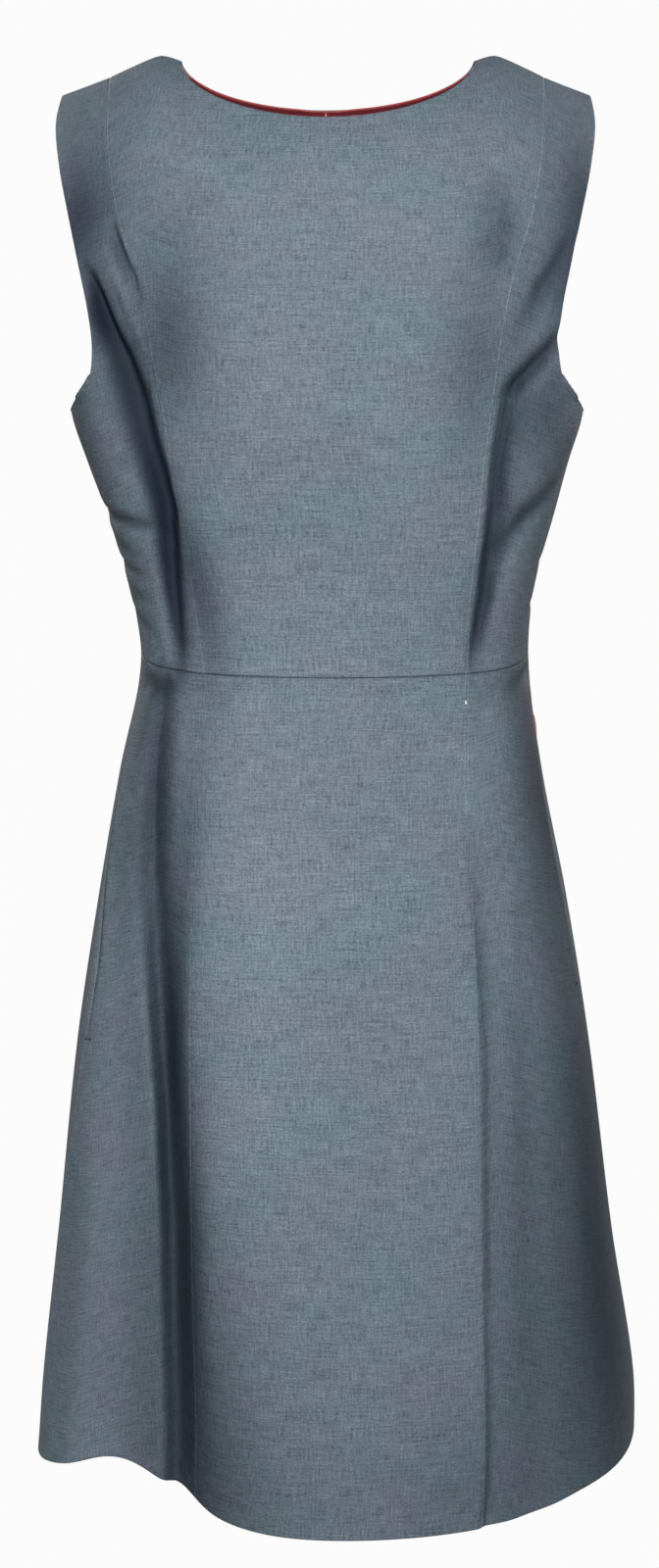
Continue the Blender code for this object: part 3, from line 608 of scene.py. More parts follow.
def cut_out(name, cloth, wall, material):
    """Thin shell of cloth over a panel's grid, with its cut as UV map, in metres."""
    rows, columns = cloth.across.shape
    shape = bmesh.new()
    bmesh.ops.create_grid(shape, x_segments=columns - 1, y_segments=rows - 1, size=0.5)
    shape.verts.index_update()
    shape.faces.ensure_lookup_table()
    cut = shape.loops.layers.uv.new("cut")
    edge = shape.verts.layers.float.new("from_seam")
    wash = shape.verts.layers.float.new("wash")
    nearest = np.minimum.reduce(edge_distances(cloth))
    where = {}
    for vert in shape.verts:
        row = round((0.5 - vert.co.y) * (rows - 1))
        column = round((vert.co.x + 0.5) * (columns - 1))
        where[vert.index] = (row, column)
        vert[edge] = nearest[row, column]
        vert[wash] = cloth.wash[row, column]
    for face in shape.faces:
        for loop in face.loops:
            loop[cut].uv = cloth.cut[where[loop.vert.index]]
        face.smooth = True
    for vert in shape.verts:
        vert.co = Vector(cloth.points[where[vert.index]])
    sample = shape.faces[len(shape.faces) // 2]
    row, column = where[sample.verts[0].index]
    sample.normal_update()
    if sample.normal.dot(Vector(cloth.normals[row, column])) < 0:
        bmesh.ops.reverse_faces(shape, faces=shape.faces[:])
    piece = finished(name, shape, material)
    thicken = piece.modifiers.new("cloth", "SOLIDIFY")
    thicken.thickness = wall
    thicken.offset = -1.0
    return piece


def finished(name, shape, material):
    mesh = bpy.data.meshes.new(name)
    shape.to_mesh(mesh)
    shape.free()
    mesh.materials.append(material)
    piece = bpy.data.objects.new(name, mesh)
    bpy.context.scene.collection.objects.link(piece)
    return piece


class Wire:
    """A shader socket that adds its own Math nodes when it is used in an expression."""

    def __init__(self, tree, socket):
        self.tree, self.socket = tree, socket

    def _math(self, operation, *values):
        node = self.tree.nodes.new("ShaderNodeMath")
        node.operation = operation
        for slot, value in zip(node.inputs, values):
            if isinstance(value, Wire):
                self.tree.links.new(value.socket, slot)
            else:
                slot.default_value = value
        return Wire(self.tree, node.outputs[0])

    def __add__(self, other):
        return self._math("ADD", self, other)

    def __radd__(self, other):
        return self._math("ADD", other, self)

    def __sub__(self, other):
        return self._math("SUBTRACT", self, other)

    def __rsub__(self, other):
        return self._math("SUBTRACT", other, self)

    def __mul__(self, other):
        return self._math("MULTIPLY", self, other)

    def __rmul__(self, other):
        return self._math("MULTIPLY", other, self)

    def clipped(self):
        return self._math("MINIMUM", self._math("MAXIMUM", self, 0.0), 1.0)


# Which output a node's wanted value comes from.
MIX_COLOUR, ATTRIBUTE_FACTOR, OBJECT_PLACE = 2, 2, 3


class Finish:
    """A material under construction: its Principled shader and the nodes that feed it."""

    def __init__(self, name, **settings):
        self.material = bpy.data.materials.new(name)
        self.material.use_nodes = True
        self.tree = self.material.node_tree
        self.shader = self.tree.nodes["Principled BSDF"]
        for socket, value in settings.items():
            self.shader.inputs[socket.replace("_", " ")].default_value = value

    def node(self, kind, settings=None, output=0, **values):
        """Add a node, set it up, feed its sockets by name and return one output."""
        node = self.tree.nodes.new("ShaderNode" + kind)
        for key, value in (settings or {}).items():
            if key == "stops":
                ramp = node.color_ramp.elements
                for element, (place, colour) in zip(ramp, value):
                    element.position, element.color = place, colour
            else:
                setattr(node, key, value)
        for name, value in values.items():
            self.feed(self.socket(node, name), value)
        return Wire(self.tree, node.outputs[output])

    def socket(self, node, name):
        """The one enabled socket of a name: a Mix node has one for each type of value."""
        return [s for s in node.inputs if s.name == name.replace("_", " ") and s.enabled][0]

    def feed(self, socket, value):
        if isinstance(value, Wire):
            self.tree.links.new(value.socket, socket)
        else:
            socket.default_value = value

    def noise(self, place, scale, detail=2.0, roughness=0.5):
        return self.node(
            "TexNoise", {"noise_dimensions": "3D"},
            Vector=place, Scale=scale, Detail=detail, Roughness=roughness,
        )

    def stretched(self, place, scale):
        """A place whose axes are scaled differently, for threads and creases."""
        return self.node("Mapping", Vector=place, Scale=scale)

    def blend(self, share, first, second):
        return self.node(
            "Mix", {"data_type": "RGBA"}, Factor=share, A=first, B=second, output=MIX_COLOUR
        )

    def bump(self, height, distance, strength=1.0, below=None):
        values = {"Height": height, "Distance": distance, "Strength": strength}
        if below is not None:
            values["Normal"] = below
        return self.node("Bump", **values)

    def paint(self, **sockets):
        for name, value in sockets.items():
            self.feed(self.shader.inputs[name.replace("_", " ")], value)


# Chambray denim: a white weft crosses an indigo warp, both slubbed, so that the cloth is mottled
# grey-blue close to. Painted light makes it paler on its ridges and painted shade darkens its
# folds.
DENIM_DARK = (0.003, 0.009, 0.022, 1.0)
DENIM_LIGHT = (0.360, 0.450, 0.520, 1.0)
DENIM_TEAL, DENIM_PLUM = (0.92, 1.03, 1.0, 1.0), (1.07, 0.97, 1.03, 1.0)
DENIM_TONE = 0.350
WARP_SCALE, WEFT_SCALE = (1000.0, 70.0, 1.0), (60.0, 900.0, 1.0)
SLUB_SCALE, PUCKER_SCALE = (22.0, 420.0, 1.0), (45.0, 230.0, 1.0)
SEAM_EDGE_WIDE, PUCKER_WIDE = 0.9 * MM, 10.0 * MM
denim = Finish("denim", Roughness=0.72, Specular_IOR_Level=0.35)
place = denim.node("UVMap", {"uv_map": "cut"})
warp = denim.noise(denim.stretched(place, WARP_SCALE), 1.0, 3.0, 0.65)
weft = denim.noise(denim.stretched(place, WEFT_SCALE), 1.0, 3.0, 0.65)
fleck = denim.noise(place, 640.0, 3.0, 0.8)
slub = denim.noise(denim.stretched(place, SLUB_SCALE), 1.0, 2.0, 0.6)
wash = denim.noise(place, 9.0, 3.0, 0.55)
cloud = denim.noise(place, 70.0, 3.0, 0.6)
hue = denim.noise(place, 16.0, 2.0, 0.5)
threads = 0.5 + (warp - 0.5) * 0.9 + (weft - 0.5) * 0.9
from_seam = denim.node("Attribute", {"attribute_name": "from_seam"}, output=ATTRIBUTE_FACTOR)
# Painted light and shade of the folds, spots and seams, with the wear of the rubbed edges.
painted_shading_and_wear = denim.node("Attribute", {"attribute_name": "wash"}, output=ATTRIBUTE_FACTOR)
at_seam = (1.0 - from_seam * (1.0 / SEAM_EDGE_WIDE)).clipped()
near_seam = (1.0 - from_seam * (1.0 / PUCKER_WIDE)).clipped()
tone = DENIM_TONE + (threads - 0.5) * 0.55 + (fleck - 0.5) * 0.75 + (slub - 0.5) * 0.12
tone = tone + (wash - 0.5) * 0.10 + (cloud - 0.5) * 0.12 + at_seam * 0.05
tone = tone * painted_shading_and_wear
tint = denim.blend(((hue - 0.5) * 3.0 + 0.5).clipped(), DENIM_TEAL, DENIM_PLUM)
cloth_colour = denim.blend(tone.clipped(), DENIM_DARK, DENIM_LIGHT)
denim.paint(Base_Color=denim.node(
    "Mix", {"data_type": "RGBA", "blend_type": "MULTIPLY"},
    Factor=1.0, A=cloth_colour, B=tint, output=MIX_COLOUR,
))
pucker = denim.noise(denim.stretched(place, PUCKER_SCALE), 1.0, 2.0)
weave = denim.bump(threads + fleck * 0.6, 0.0005, 0.6)
denim.paint(Normal=denim.bump(pucker * near_seam, 0.0012, 0.8, weave))

princess = seam_edge("front_out", lambda turn: shoulder_drop(SHOULDER_SEAM), waist_drop)
princess_foot = seam_end("front_out", waist_drop, 1)[0]
centre_waist = level_edge(-princess_foot, princess_foot, waist_drop)
bodice_centre = panel(
    mirrored(princess), princess, centre_top, centre_waist, (100, 120), (0.26, 0.37)
)
piece = cut_out(
    "bodice_centre_front", tailored(worn_and_seam_shaded(bodice_centre, sides=1.4, foot=-0.5)), WALL,
    denim.material,
)
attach(piece, "dress")
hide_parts("bodice_front_centre")

# Side fronts of the bodice
# Two narrow panels from the shoulder tip round the armhole and down the side seam. They are
# cut from the same denim and are eased onto the centre front over the bust.
UNDERARM = 228.0 * MM
ARMHOLE_SHARE = 9 / 14
ArmholePoint = namedtuple("ArmholePoint", "step drop front_out back_out")
ARMHOLE = (
    ArmholePoint(0, 25.5, 172, 172),
    ArmholePoint(1, 45, 174, 173),
    ArmholePoint(2, 70, 170, 169),
    ArmholePoint(3, 100, 163, 162.5),
    ArmholePoint(4, 130, 156, 157),
    ArmholePoint(5, 158, 150, 153),
    ArmholePoint(6, 183, 147.5, 151.5),
    ArmholePoint(7, 204, 150.5, 153),
    ArmholePoint(8, 218, 161, 161.5),
    ArmholePoint(9, 228, 167, 167),
)
SIDES = (("left", -1), ("right", 1))


def armhole_place(share, column):
    """Places on an armhole, from the shoulder tip at 0 to the underarm at 1."""
    share = np.clip(share, 0.0, 1.0)
    step = share * ARMHOLE[-1].step
    drop, out = read(ARMHOLE, step, "drop") * MM, read(ARMHOLE, step, column) * MM
    turn = np.where(share >= 1, math.pi / 2, turn_at(out, drop))
    run = np.where(share > 0, run_at(turn, drop), 0.0)
    return (math.pi - turn if column == "back_out" else turn), run


def outer_edge(armhole_column, seam_column):
    side_seam = seam_edge(seam_column, lambda turn: np.array(UNDERARM), waist_drop)

    def place(share):
        armhole = armhole_place(share / ARMHOLE_SHARE, armhole_column)
        below = side_seam(np.clip((share - ARMHOLE_SHARE) / (1 - ARMHOLE_SHARE), 0, 1))
        return either(share <= ARMHOLE_SHARE, armhole, below)

    return place


def outer_strap_top(share):
    return strap_place(mix(SHOULDER_SEAM, SHOULDER_TIP, share), "front")


for side, sign in SIDES:
    side_foot = seam_end(side + "_side", waist_drop, 1)[0]
    cloth = panel(
        princess, outer_edge("front_out", side + "_side"), outer_strap_top,
        level_edge(princess_foot, side_foot, waist_drop), (44, 120), (0.07, 0.37), sign,
    )
    piece = cut_out(
        "bodice_side_front_" + side, tailored(worn_and_seam_shaded(cloth, foot=-0.55)), WALL, denim.material
    )
    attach(piece, "dress")
    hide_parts("bodice_front_side_" + side)

# Backs of the bodice
# Two panels from the concealed zip in the middle to the armholes and side seams. Their
# centre edges are turned in along the zip and stand slightly apart where its slider is.
NECK_BACK = 34.0 * MM
BACK_NECK_SHARE = 6 / 11
ZIP_PART, ZIP_PART_WIDE, ZIP_PART_REACH = 0.9 * MM, 6.0 * MM, 7.0 * MM
SLIDER_DROP, ZIP_INSIDE_COLUMN = 45.0 * MM, 4


def back_top(share):
    """Top edge of a back panel from the centre back at 0 to the shoulder tip at 1."""
    neck = neck_place(1 - share / BACK_NECK_SHARE, NECK_BACK, "back")
    out = np.clip((share - BACK_NECK_SHARE) / (1 - BACK_NECK_SHARE), 0, 1)
    strap = strap_place(mix(NECK_HALF, SHOULDER_TIP, out), "back")
    return either(share <= BACK_NECK_SHARE, neck, strap)


def towards(start, end):
    """Directions from some points to others, each of length 1."""
    way = end - start
    return way / np.linalg.norm(way, axis=-1, keepdims=True)


def parted(cloth, amount):
    """Panel whose first column is drawn away from the middle by an amount at each row."""
    inwards = towards(cloth.points[:, 0], cloth.points[:, ZIP_INSIDE_COLUMN])
    share = bell(cloth.across, ZIP_PART_WIDE) * amount[:, None]
    return cloth._replace(points=cloth.points + inwards[:, None, :] * share[..., None])


centre_back = seam_edge("centre_back", lambda turn: np.array(NECK_BACK), waist_drop)
back_panels = {}
for side, sign in SIDES:
    side_foot = seam_end(side + "_side", waist_drop, 1)[0]
    cloth = panel(
        centre_back, outer_edge("back_out", side + "_side"), back_top,
        level_edge(math.pi, side_foot, waist_drop), (66, 120), (0.15, 0.37), sign,
    )
    apart = ZIP_PART * bell(cloth.points[:, 0, 2] + SLIDER_DROP, ZIP_PART_REACH)
    back_panels[side] = cloth = parted(cloth, apart)
    piece = cut_out(
        "bodice_back_panel_" + side, tailored(worn_and_seam_shaded(cloth, foot=-0.5)), WALL, denim.material
    )
    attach(piece, "dress")
    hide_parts("bodice_back_" + side)

# Centre front of the skirt
# One flared panel whose seams carry on from the princess seams, sewn to the bodice at the
# waist. Its plain hem is turned up inside and blind-stitched.
HEM, HEM_SIDE_RISE = 961.5 * MM, 20.0 * MM
HEM_LIFT_TURN, HEM_LIFT_WIDE, HEM_LIFT = -41.0, 17.0, 18.0 * MM
HEM_CORNER_TURN, HEM_CORNER_WIDE, HEM_CORNER_DROP = -84.0, 16.0, 8.0 * MM


def hem_drop(turn):
    level = HEM - HEM_SIDE_RISE * np.sin(turn) ** 2
    degrees = np.degrees(turn)
    lift = HEM_LIFT * bell(degrees - HEM_LIFT_TURN, HEM_LIFT_WIDE)
    return level - lift + HEM_CORNER_DROP * bell(degrees - HEM_CORNER_TURN, HEM_CORNER_WIDE)


SkirtSeam = namedtuple("SkirtSeam", "edge waist hem")
skirt_seams = {}
for side, sign in SIDES:
    for column in ("front_out", side + "_side", "centre_back"):
        skirt_seams[side, column] = SkirtSeam(
            seam_edge(column, waist_drop, hem_drop, sign),
            seam_end(column, waist_drop, sign)[0], seam_end(column, hem_drop, sign)[0],
        )
left_seam, right_seam = skirt_seams["left", "front_out"], skirt_seams["right", "front_out"]
skirt_centre = panel(
    mirrored(left_seam.edge), right_seam.edge,
    level_edge(-left_seam.waist, right_seam.waist, waist_drop),
    level_edge(-left_seam.hem, right_seam.hem, hem_drop), (80, 144), (0.19, 0.57),
)
piece = cut_out(
    "skirt_centre_front", tailored(worn_and_seam_shaded(skirt_centre, sides=0.8, top=-0.5)), WALL,
    denim.material,
)
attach(piece, "dress")
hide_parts("skirt_front_centre")

# Side fronts of the skirt
# Each runs from the centre panel to the side seam, whose upper part is left open as the mouth
# of a pocket. The mouth's edge is turned in and gapes a little.
Pocket = namedtuple("Pocket", "top foot")
POCKETS = {"left": Pocket(415 * MM, 645 * MM), "right": Pocket(400 * MM, 612 * MM)}
MOUTH_PART, MOUTH_LIFT, MOUTH_REACH, MOUTH_BLUNT = 3.0 * MM, 1.4 * MM, 12.0 * MM, 0.7
MOUTH_SHADE, MOUTH_SHADE_WIDE, SHADE_BLUNT, MOUTH_INSIDE_COLUMN = -0.85, 3.6 * MM, 0.5, -6


def in_mouth(cloth, pocket):
    """Share of a pocket mouth's gape at each row of a panel: 0 at its ends and 1 halfway."""
    share = np.clip((-cloth.points[:, -1, 2] - pocket.top) / (pocket.foot - pocket.top), 0, 1)
    return np.sin(math.pi * share)[:, None]


def gaping(cloth, pocket):
    """Panel whose last column stands away from the side seam along a pocket mouth."""
    gape = in_mouth(cloth, pocket) ** MOUTH_BLUNT
    inwards = towards(cloth.points[:, -1], cloth.points[:, MOUTH_INSIDE_COLUMN])
    near = (bell(cloth.across[:, -1:] - cloth.across, MOUTH_REACH) * gape)[..., None]
    moved = inwards[:, None, :] * MOUTH_PART * near + cloth.normals * MOUTH_LIFT * near
    return cloth._replace(points=cloth.points + moved)


def along_mouth(cloth, pocket, amount, wide):
    """Panel made paler or darker beside its last column, along a pocket mouth."""
    near = bell(cloth.across[:, -1:] - cloth.across, wide) * in_mouth(cloth, pocket) ** SHADE_BLUNT
    return cloth._replace(wash=cloth.wash * (1 + amount * near))


skirt_sides = {}
for side, sign in SIDES:
    near, far = skirt_seams[side, "front_out"], skirt_seams[side, side + "_side"]
    cloth = panel(
        near.edge, far.edge, level_edge(near.waist, far.waist, waist_drop, sign),
        level_edge(near.hem, far.hem, hem_drop, sign), (60, 144), (0.11, 0.57), sign,
    )
    skirt_sides[side] = cloth
    cloth = gaping(cloth, POCKETS[side])
    # Painted shade along the pocket mouth, where it gapes.
    cloth = along_mouth(cloth, POCKETS[side], MOUTH_SHADE, MOUTH_SHADE_WIDE)
    piece = cut_out(
        "skirt_side_front_" + side, tailored(worn_and_seam_shaded(cloth, top=-0.6)), WALL, denim.material
    )
    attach(piece, "dress")
    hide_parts("skirt_front_side_" + side)

# Backs of the skirt
# Two flared panels of the same denim, joined by the centre-back seam below the foot of the zip.
# Beside the pocket mouths they are paler.
MOUTH_PALE, MOUTH_PALE_WIDE = 0.5, 14.0 * MM
skirt_backs = {}
for side, sign in SIDES:
    near, far = skirt_seams[side, "centre_back"], skirt_seams[side, side + "_side"]
    cloth = panel(
        near.edge, far.edge, level_edge(near.waist, far.waist, waist_drop, sign),
        level_edge(near.hem, far.hem, hem_drop, sign), (66, 144), (0.24, 0.57), sign,
    )
    cloth = along_mouth(cloth, POCKETS[side], MOUTH_PALE, MOUTH_PALE_WIDE)
    skirt_backs[side] = cloth
    piece = cut_out(
        "skirt_back_panel_" + side, tailored(worn_and_seam_shaded(cloth, top=-0.5)), WALL, denim.material
    )
    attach(piece, "dress")
    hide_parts("skirt_back_" + side)

# Hem
# The skirt is turned up 30 mm inside along its whole edge and held by a blind stitch, which
# doesn't show outside. The turned-up part shows the paler wrong side of the denim.
HEM_DEEP, HEM_GAP, HEM_WALL = 30.0 * MM, 0.3 * MM, 1.0 * MM
WRONG_DARK, WRONG_LIGHT = (0.050, 0.070, 0.095, 1.0), (0.300, 0.345, 0.385, 1.0)
wrong_side = Finish("denim_wrong_side", Roughness=0.85, Specular_IOR_Level=0.3)
place = wrong_side.node("UVMap", {"uv_map": "cut"})
ridges = wrong_side.noise(wrong_side.stretched(place, (1000.0, 90.0, 1.0)), 1.0, 3.0, 0.6)
picks = wrong_side.noise(wrong_side.stretched(place, (80.0, 900.0, 1.0)), 1.0, 3.0, 0.6)
wrong_side.paint(
    Base_Color=wrong_side.blend(
        (0.5 + (ridges + picks - 1.0) * 0.8).clipped(), WRONG_DARK, WRONG_LIGHT
    ),
    Normal=wrong_side.bump(ridges + picks, 0.0004, 0.6),
)
SKIRT_PANELS = (
    ("centre_front", skirt_centre),
    ("side_front_left", skirt_sides["left"]), ("side_front_right", skirt_sides["right"]),
    ("back_left", skirt_backs["left"]), ("back_right", skirt_backs["right"]),
)


def inner_layer(cloth, depth, columns, rows):
    """Part of a panel, laid inside it at a given depth."""
    points = (cloth.points - cloth.normals * depth)[rows, columns]
    others = (part[rows, columns] for part in (cloth.normals, cloth.cut, cloth.wash))
    return measured(points, *others)


for name, cloth in SKIRT_PANELS:
    turned_up = cloth.down[-1].mean() - cloth.down.mean(axis=1) < HEM_DEEP
    first = int(np.argmax(turned_up))
    hem = inner_layer(cloth, WALL + HEM_GAP, slice(1, -1), slice(first, -1))
    piece = cut_out("hem_" + name, hem, HEM_WALL, wrong_side.material)
    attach(piece, "dress")

# Neck facing
# A shaped band of dark red cotton inside the whole neckline, which passes over the tapes of
# the zip at the back. Its edge shows as a lighter red line just above the denim.
FACING_WALL, FACING_GAP, FACING_DEEP = 0.9 * MM, 0.5 * MM, 52.0 * MM
FACING_PROUD, PROUD_WIDE, BAND_INSIDE_ROW = 1.6 * MM, 4.0 * MM, 5
FACING_SIDE_COLUMNS, BACK_FACING_COLUMNS = 3, 52
STRAP_CLEAR, STRAP_EASE = 1.5 * MM, 3.0 * MM
TAPE_PASS, TAPE_HALF, TAPE_EASE = 0.95 * MM, 12.0 * MM, 4.0 * MM
RED_DARK, RED_LIGHT = (0.085, 0.006, 0.012, 1.0), (0.26, 0.022, 0.03, 1.0)
RED_EDGE, RED_EDGE_WIDE = (0.42, 0.06, 0.045, 1.0), 1.6 * MM
red = Finish("red_lining", Roughness=0.62, Sheen_Weight=0.15, Sheen_Roughness=0.35)
place = red.node("UVMap", {"uv_map": "cut"})
yarns = red.noise(red.stretched(place, (1700.0, 160.0, 1.0)), 1.0, 2.0)
picks = red.noise(red.stretched(place, (150.0, 1600.0, 1.0)), 1.0, 2.0)
mottle = red.noise(place, 60.0, 3.0)
tone = (0.4 + (yarns + picks - 1.0) * 0.7 + (mottle - 0.5) * 0.5).clipped()
from_seam = red.node("Attribute", {"attribute_name": "from_seam"}, output=ATTRIBUTE_FACTOR)
at_edge = (1.0 - from_seam * (1.0 / RED_EDGE_WIDE)).clipped()
colour = red.blend(tone, RED_DARK, RED_LIGHT)
red.paint(
    Base_Color=red.blend(at_edge * 0.85, colour, RED_EDGE),
    Normal=red.bump(yarns + picks, 0.0003, 0.5),
)


def facing(cloth, columns, proud_columns, at_zip=0):
    """Band below a panel's top edge, whose own top edge stands just above it."""
    rows = slice(0, int(np.searchsorted(cloth.down[:, cloth.down.shape[1] // 2], FACING_DEEP)))
    over_tape = TAPE_PASS * np.clip((TAPE_HALF - cloth.across) / TAPE_EASE + 1, 0, 1)
    inwards = WALL + FACING_GAP + over_tape * at_zip
    band = inner_layer(cloth, inwards[..., None], columns, rows)
    points = band.points.copy()
    upwards = towards(points[BAND_INSIDE_ROW], points[0])
    lift = FACING_PROUD * bell(band.down, PROUD_WIDE) * proud_columns[None, columns]
    points += upwards[None] * lift[..., None]
    return measured(points, band.normals, band.cut, band.wash)


def in_neck(cloth):
    """1 along the columns that end at the neckline, easing to 0 on the straps."""
    out = np.abs(cloth.points[0, :, 0])
    return np.clip((NECK_HALF - STRAP_CLEAR - out) / STRAP_EASE, 0, 1)


front_columns = slice(FACING_SIDE_COLUMNS, -FACING_SIDE_COLUMNS)
front_facing = facing(bodice_centre, front_columns, in_neck(bodice_centre))
piece = cut_out("neck_band_front", front_facing, FACING_WALL, red.material)
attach(piece, "dress")
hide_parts("neck_facing_front")
for side, _ in SIDES:
    cloth = back_panels[side]
    band = facing(cloth, slice(0, BACK_FACING_COLUMNS), in_neck(cloth), at_zip=1)
    piece = cut_out("neck_band_back_" + side, band, FACING_WALL, red.material)
    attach(piece, "dress")
    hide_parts("neck_facing_back_" + side)

# Pockets
# Inside each mouth lie a denim facing and, behind it, a bag of the red cotton. Both are
# sewn in at the side seam.
LAYER_GAP, POCKET_WALL = 0.35 * MM, 0.9 * MM
Layer = namedtuple("Layer", "name node wide top foot depth")
POCKET_LAYERS = (
    Layer("pocket_lip_", "pocket_facing_", 24, 0.062, 0.395, WALL + LAYER_GAP),
    Layer("pocket_pouch_", "pocket_bag_", 58, 0.062, 0.53, WALL + POCKET_WALL + 2.5 * LAYER_GAP),
)
for side, _ in SIDES:
    cloth = skirt_sides[side]
    for layer in POCKET_LAYERS:
        reach = cloth.across[:, -1].mean() - layer.wide * MM
        first = int(np.searchsorted(cloth.across.mean(axis=0), reach))
        rows = slice(*(int(share * cloth.across.shape[0]) for share in (layer.top, layer.foot)))
        inner = inner_layer(cloth, layer.depth, slice(first, None), rows)
        is_lip = layer.node == "pocket_facing_"
        material = denim.material if is_lip else red.material
        piece = cut_out(layer.name + side, inner, POCKET_WALL, material)
        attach(piece, "dress")
        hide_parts(layer.node + side)

# A corner of the red lining is pulled out of the right-hand mouth, near its top.
TUCK_TOP, TUCK_FOOT, TUCK_PROUD, TUCK_WALL = 427 * MM, 441 * MM, 1.2 * MM, 0.6 * MM
TUCK_COLUMNS, TUCK_ENDS, TUCK_BLUNT = 7, 0.15, 0.8
cloth = skirt_backs["right"]
drops = -cloth.points[:, -1, 2]
corner = inner_layer(
    cloth, -TUCK_PROUD, slice(-TUCK_COLUMNS, None),
    slice(int(np.searchsorted(drops, TUCK_TOP)), int(np.searchsorted(drops, TUCK_FOOT)) + 1),
)
swell = np.sin(math.pi * np.linspace(0, 1, corner.points.shape[0])) ** TUCK_BLUNT
taper = mix(TUCK_ENDS, 1.0, swell)[:, None, None]
points = corner.points[:, -1:] + (corner.points - corner.points[:, -1:]) * taper
corner = measured(points, corner.normals, corner.cut, corner.wash)
piece = cut_out("pocket_lining_corner_right", corner, TUCK_WALL, red.material)
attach(piece, "dress")

# Bar tacks and a loose thread
# Close stitches in navy thread tie the foot of each pocket mouth. An end of white thread is
# caught in the right-hand seam of the skirt, just below the waist.
STITCH_PROUD, BAR_INSIDE_COLUMN = 0.6, -8
BAR_STITCHES, BAR_STEP, BAR_STITCH = 10, 0.8 * MM, (1.3 * MM, 0.34 * MM, 0.3 * MM)
END_DROP, END_STITCHES, END_STEP = 412 * MM, 2, 0.5 * MM
END_STITCH = (1.4 * MM, 0.4 * MM, 0.35 * MM)
navy_thread = Finish("navy_thread", Roughness=0.6)
white_thread = Finish("white_thread", Roughness=0.6)
for thread, shades in (
    (navy_thread, ((0.006, 0.009, 0.018, 1.0), (0.030, 0.038, 0.060, 1.0))),
    (white_thread, ((0.55, 0.56, 0.57, 1.0), (0.80, 0.80, 0.80, 1.0))),
):
    place = thread.node("TexCoord", output=OBJECT_PLACE)
    twist = thread.noise(place, 2600.0, 2.0)
    thread.paint(Base_Color=thread.blend(twist, *shades), Normal=thread.bump(twist, 0.0001, 0.6))


def sewn_bar(name, cloth, drop, count, step, size, material):
    """Row of stitches from a panel's last column inwards, each lengthwise on the cloth."""
    row = int(np.argmin(np.abs(cloth.points[:, -1, 2] + drop)))
    start, outwards = Vector(cloth.points[row, -1]), Vector(cloth.normals[row, -1])
    inwards = (Vector(cloth.points[row, BAR_INSIDE_COLUMN]) - start).normalized()
    turned = Matrix((inwards.cross(outwards), inwards, outwards)).transposed().to_4x4()
    shape = bmesh.new()
    for k in range(count):
        centre = start + inwards * (k * step) + outwards * size[2] * STITCH_PROUD
        bmesh.ops.create_uvsphere(
            shape, u_segments=10, v_segments=6, radius=1.0,
            matrix=Matrix.Translation(centre) @ turned @ Matrix.Diagonal((*size, 1.0)),
        )
    for face in shape.faces:
        face.smooth = True
    piece = finished(name, shape, material)
    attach(piece, "dress")


for side, _ in SIDES:
    sewn_bar(
        "bar_tack_" + side, skirt_sides[side], POCKETS[side].foot,
        BAR_STITCHES, BAR_STEP, BAR_STITCH, navy_thread.material,
    )
sewn_bar(
    "thread_end", skirt_centre, END_DROP, END_STITCHES, END_STEP, END_STITCH,
    white_thread.material,
)

# Zip tapes
# Dark blue woven tapes sewn inside the centre-back edges, from the neck through the waist
# seam. The concealed coil between them can't be seen and isn't made.
TAPE_WALL, TAPE_COLUMNS, TAPE_SKIRT_FOOT = 0.7 * MM, slice(0, 8), 50
zip_tape = Finish("zip_nylon", Roughness=0.7, Base_Color=(0.03, 0.042, 0.065, 1.0))
place = zip_tape.node("UVMap", {"uv_map": "cut"})
rib = zip_tape.noise(zip_tape.stretched(place, (90.0, 1500.0, 1.0)), 1.0, 2.0)
zip_tape.paint(
    Base_Color=zip_tape.blend(rib, (0.02, 0.03, 0.05, 1.0), (0.05, 0.065, 0.09, 1.0)),
    Normal=zip_tape.bump(rib, 0.0003, 0.6),
)
for side, _ in SIDES:
    upper = inner_layer(back_panels[side], WALL + LAYER_GAP, TAPE_COLUMNS, slice(0, -1))
    lower = inner_layer(
        skirt_backs[side], WALL + LAYER_GAP, TAPE_COLUMNS, slice(1, TAPE_SKIRT_FOOT)
    )
    tape = measured(*(
        np.concatenate((getattr(upper, part), getattr(lower, part)))
        for part in ("points", "normals", "cut", "wash")
    ))
    piece = cut_out("zip_band_" + side, tape, TAPE_WALL, zip_tape.material)
    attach(piece, "dress")
    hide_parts("zip_tape_" + side)

# Zip slider and pull tab
# Die-cast, with a satin grey enamel that is rubbed a little darker. The slider sits closed at
# the neck, between the backs' edges, and its tab hangs down on the outside.
enamel = Finish("zip_metal", Specular_IOR_Level=0.5, Coat_Weight=0.2, Coat_Roughness=0.25)
place = enamel.node("TexCoord", output=OBJECT_PLACE)
rubbed = enamel.noise(place, 420.0, 3.0, 0.6)
grain = enamel.noise(place, 5200.0, 2.0, 0.5)
enamel.paint(
    Base_Color=enamel.blend(rubbed, (0.20, 0.21, 0.23, 1.0), (0.37, 0.38, 0.40, 1.0)),
    Roughness=0.28 + rubbed * 0.22,
    Normal=enamel.bump(grain, 0.00004, 0.5),
)
for node in ("zip_slider", "zip_pull"):
    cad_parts[node].data.materials.clear()
    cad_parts[node].data.materials.append(enamel.material)

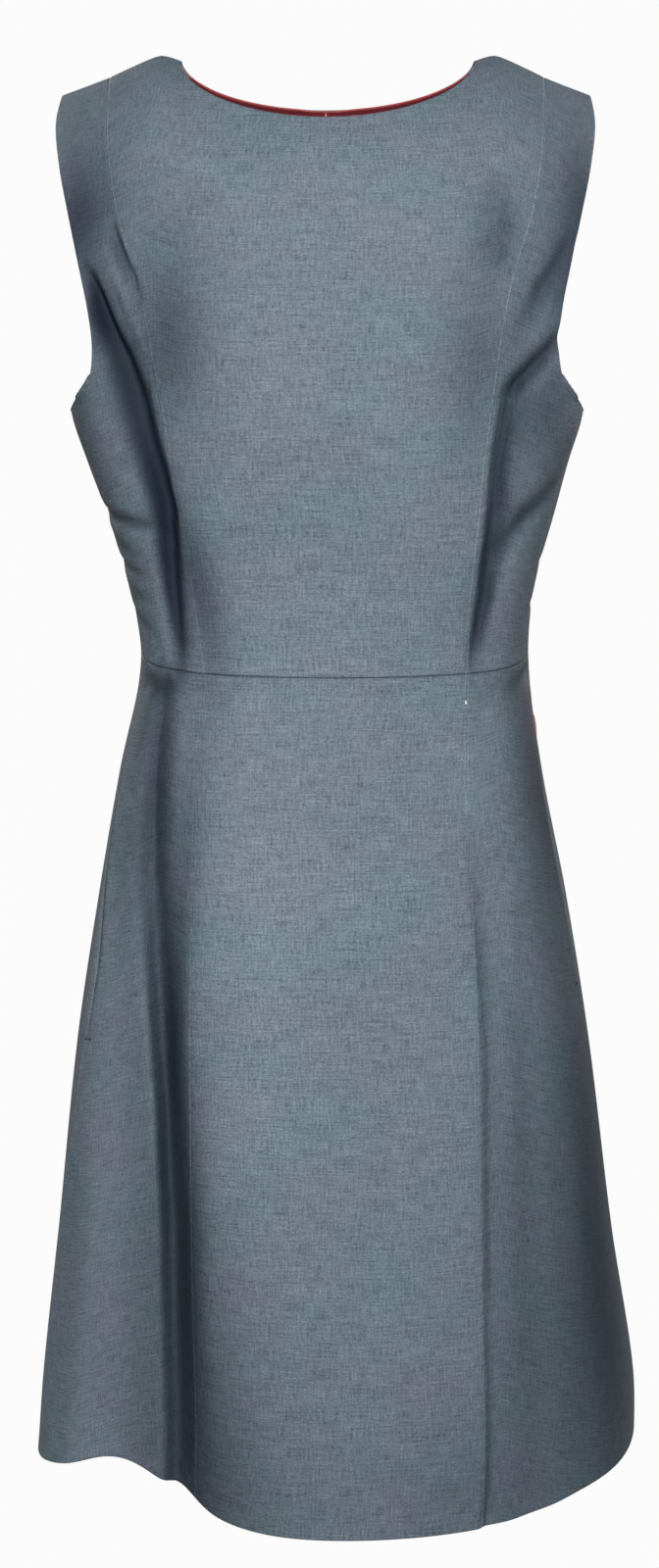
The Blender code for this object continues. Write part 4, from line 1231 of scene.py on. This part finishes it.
# Studio
# A floor and backdrop that look white to the camera and give little light, a lamp above the
# camera, a weak one higher up and two behind the dress. The camera is about level with the
# neckline, 2.3 m in front of the shoulders, and looks slightly down.
CAMERA_BACK, CAMERA_RISE, CAMERA_TILT, LENS = 2.3, -0.06, 10.39, 79.45
FLOOR, FLOOR_HALF, LAMP_AIM = -1.46, 12.0, (0, 0, -0.4)
WHITE = (0.97, 0.97, 0.97, 1.0)
paper = Finish("studio_paper", Base_Color=(0.4, 0.4, 0.4, 1.0), Roughness=0.9)
seen = paper.node("LightPath", output=0)
glow = paper.node("Emission", Color=WHITE, Strength=1.0)
shaded = Wire(paper.tree, paper.shader.outputs[0])
lit = paper.node("MixShader", Fac=seen)
lit_node = lit.socket.node
paper.tree.links.new(shaded.socket, lit_node.inputs[1])
paper.tree.links.new(glow.socket, lit_node.inputs[2])
paper.tree.links.new(lit.socket, paper.tree.nodes["Material Output"].inputs["Surface"])
ground = bmesh.new()
bmesh.ops.create_grid(ground, x_segments=1, y_segments=1, size=FLOOR_HALF)
bmesh.ops.translate(ground, vec=(0, 0, FLOOR), verts=ground.verts)
finished("floor", ground, paper.material)

AROUND, BACKDROP = 0.03, 1.0
world = bpy.data.worlds.new("studio")
bpy.context.scene.world = world
world.use_nodes = True
background = world.node_tree.nodes["Background"]
background.inputs["Color"].default_value = WHITE
rays = world.node_tree.nodes.new("ShaderNodeLightPath")
level = world.node_tree.nodes.new("ShaderNodeMapRange")
level.inputs["To Min"].default_value = AROUND
level.inputs["To Max"].default_value = BACKDROP
world.node_tree.links.new(rays.outputs["Is Camera Ray"], level.inputs["Value"])
world.node_tree.links.new(level.outputs[0], background.inputs["Strength"])

Lamp = namedtuple("Lamp", "name place size power")
for lamp in (
    Lamp("key", (0.05, -2.35, 0.38), 0.45, 62.0),
    Lamp("top", (0.0, -0.9, 1.5), 0.9, 7.0),
    Lamp("back_left", (-1.6, 2.2, 0.6), 1.2, 40.0),
    Lamp("back_right", (1.8, 2.0, 0.4), 1.2, 40.0),
):
    data = bpy.data.lights.new(lamp.name, "AREA")
    data.energy, data.size = lamp.power, lamp.size
    light = bpy.data.objects.new(lamp.name, data)
    bpy.context.scene.collection.objects.link(light)
    light.location = lamp.place
    aim = Vector(LAMP_AIM) - light.location
    light.rotation_euler = aim.to_track_quat("-Z", "Y").to_euler()

camera = bpy.data.objects.new("camera", bpy.data.cameras.new("camera"))
bpy.context.scene.collection.objects.link(camera)
camera.data.lens = LENS
camera.location = (0.0, -CAMERA_BACK, CAMERA_RISE)
camera.rotation_euler = (math.radians(90 - CAMERA_TILT), 0.0, 0.0)
bpy.context.scene.camera = camera
bpy.context.scene.view_settings.view_transform = "Standard"

bpy.context.view_layer.update()
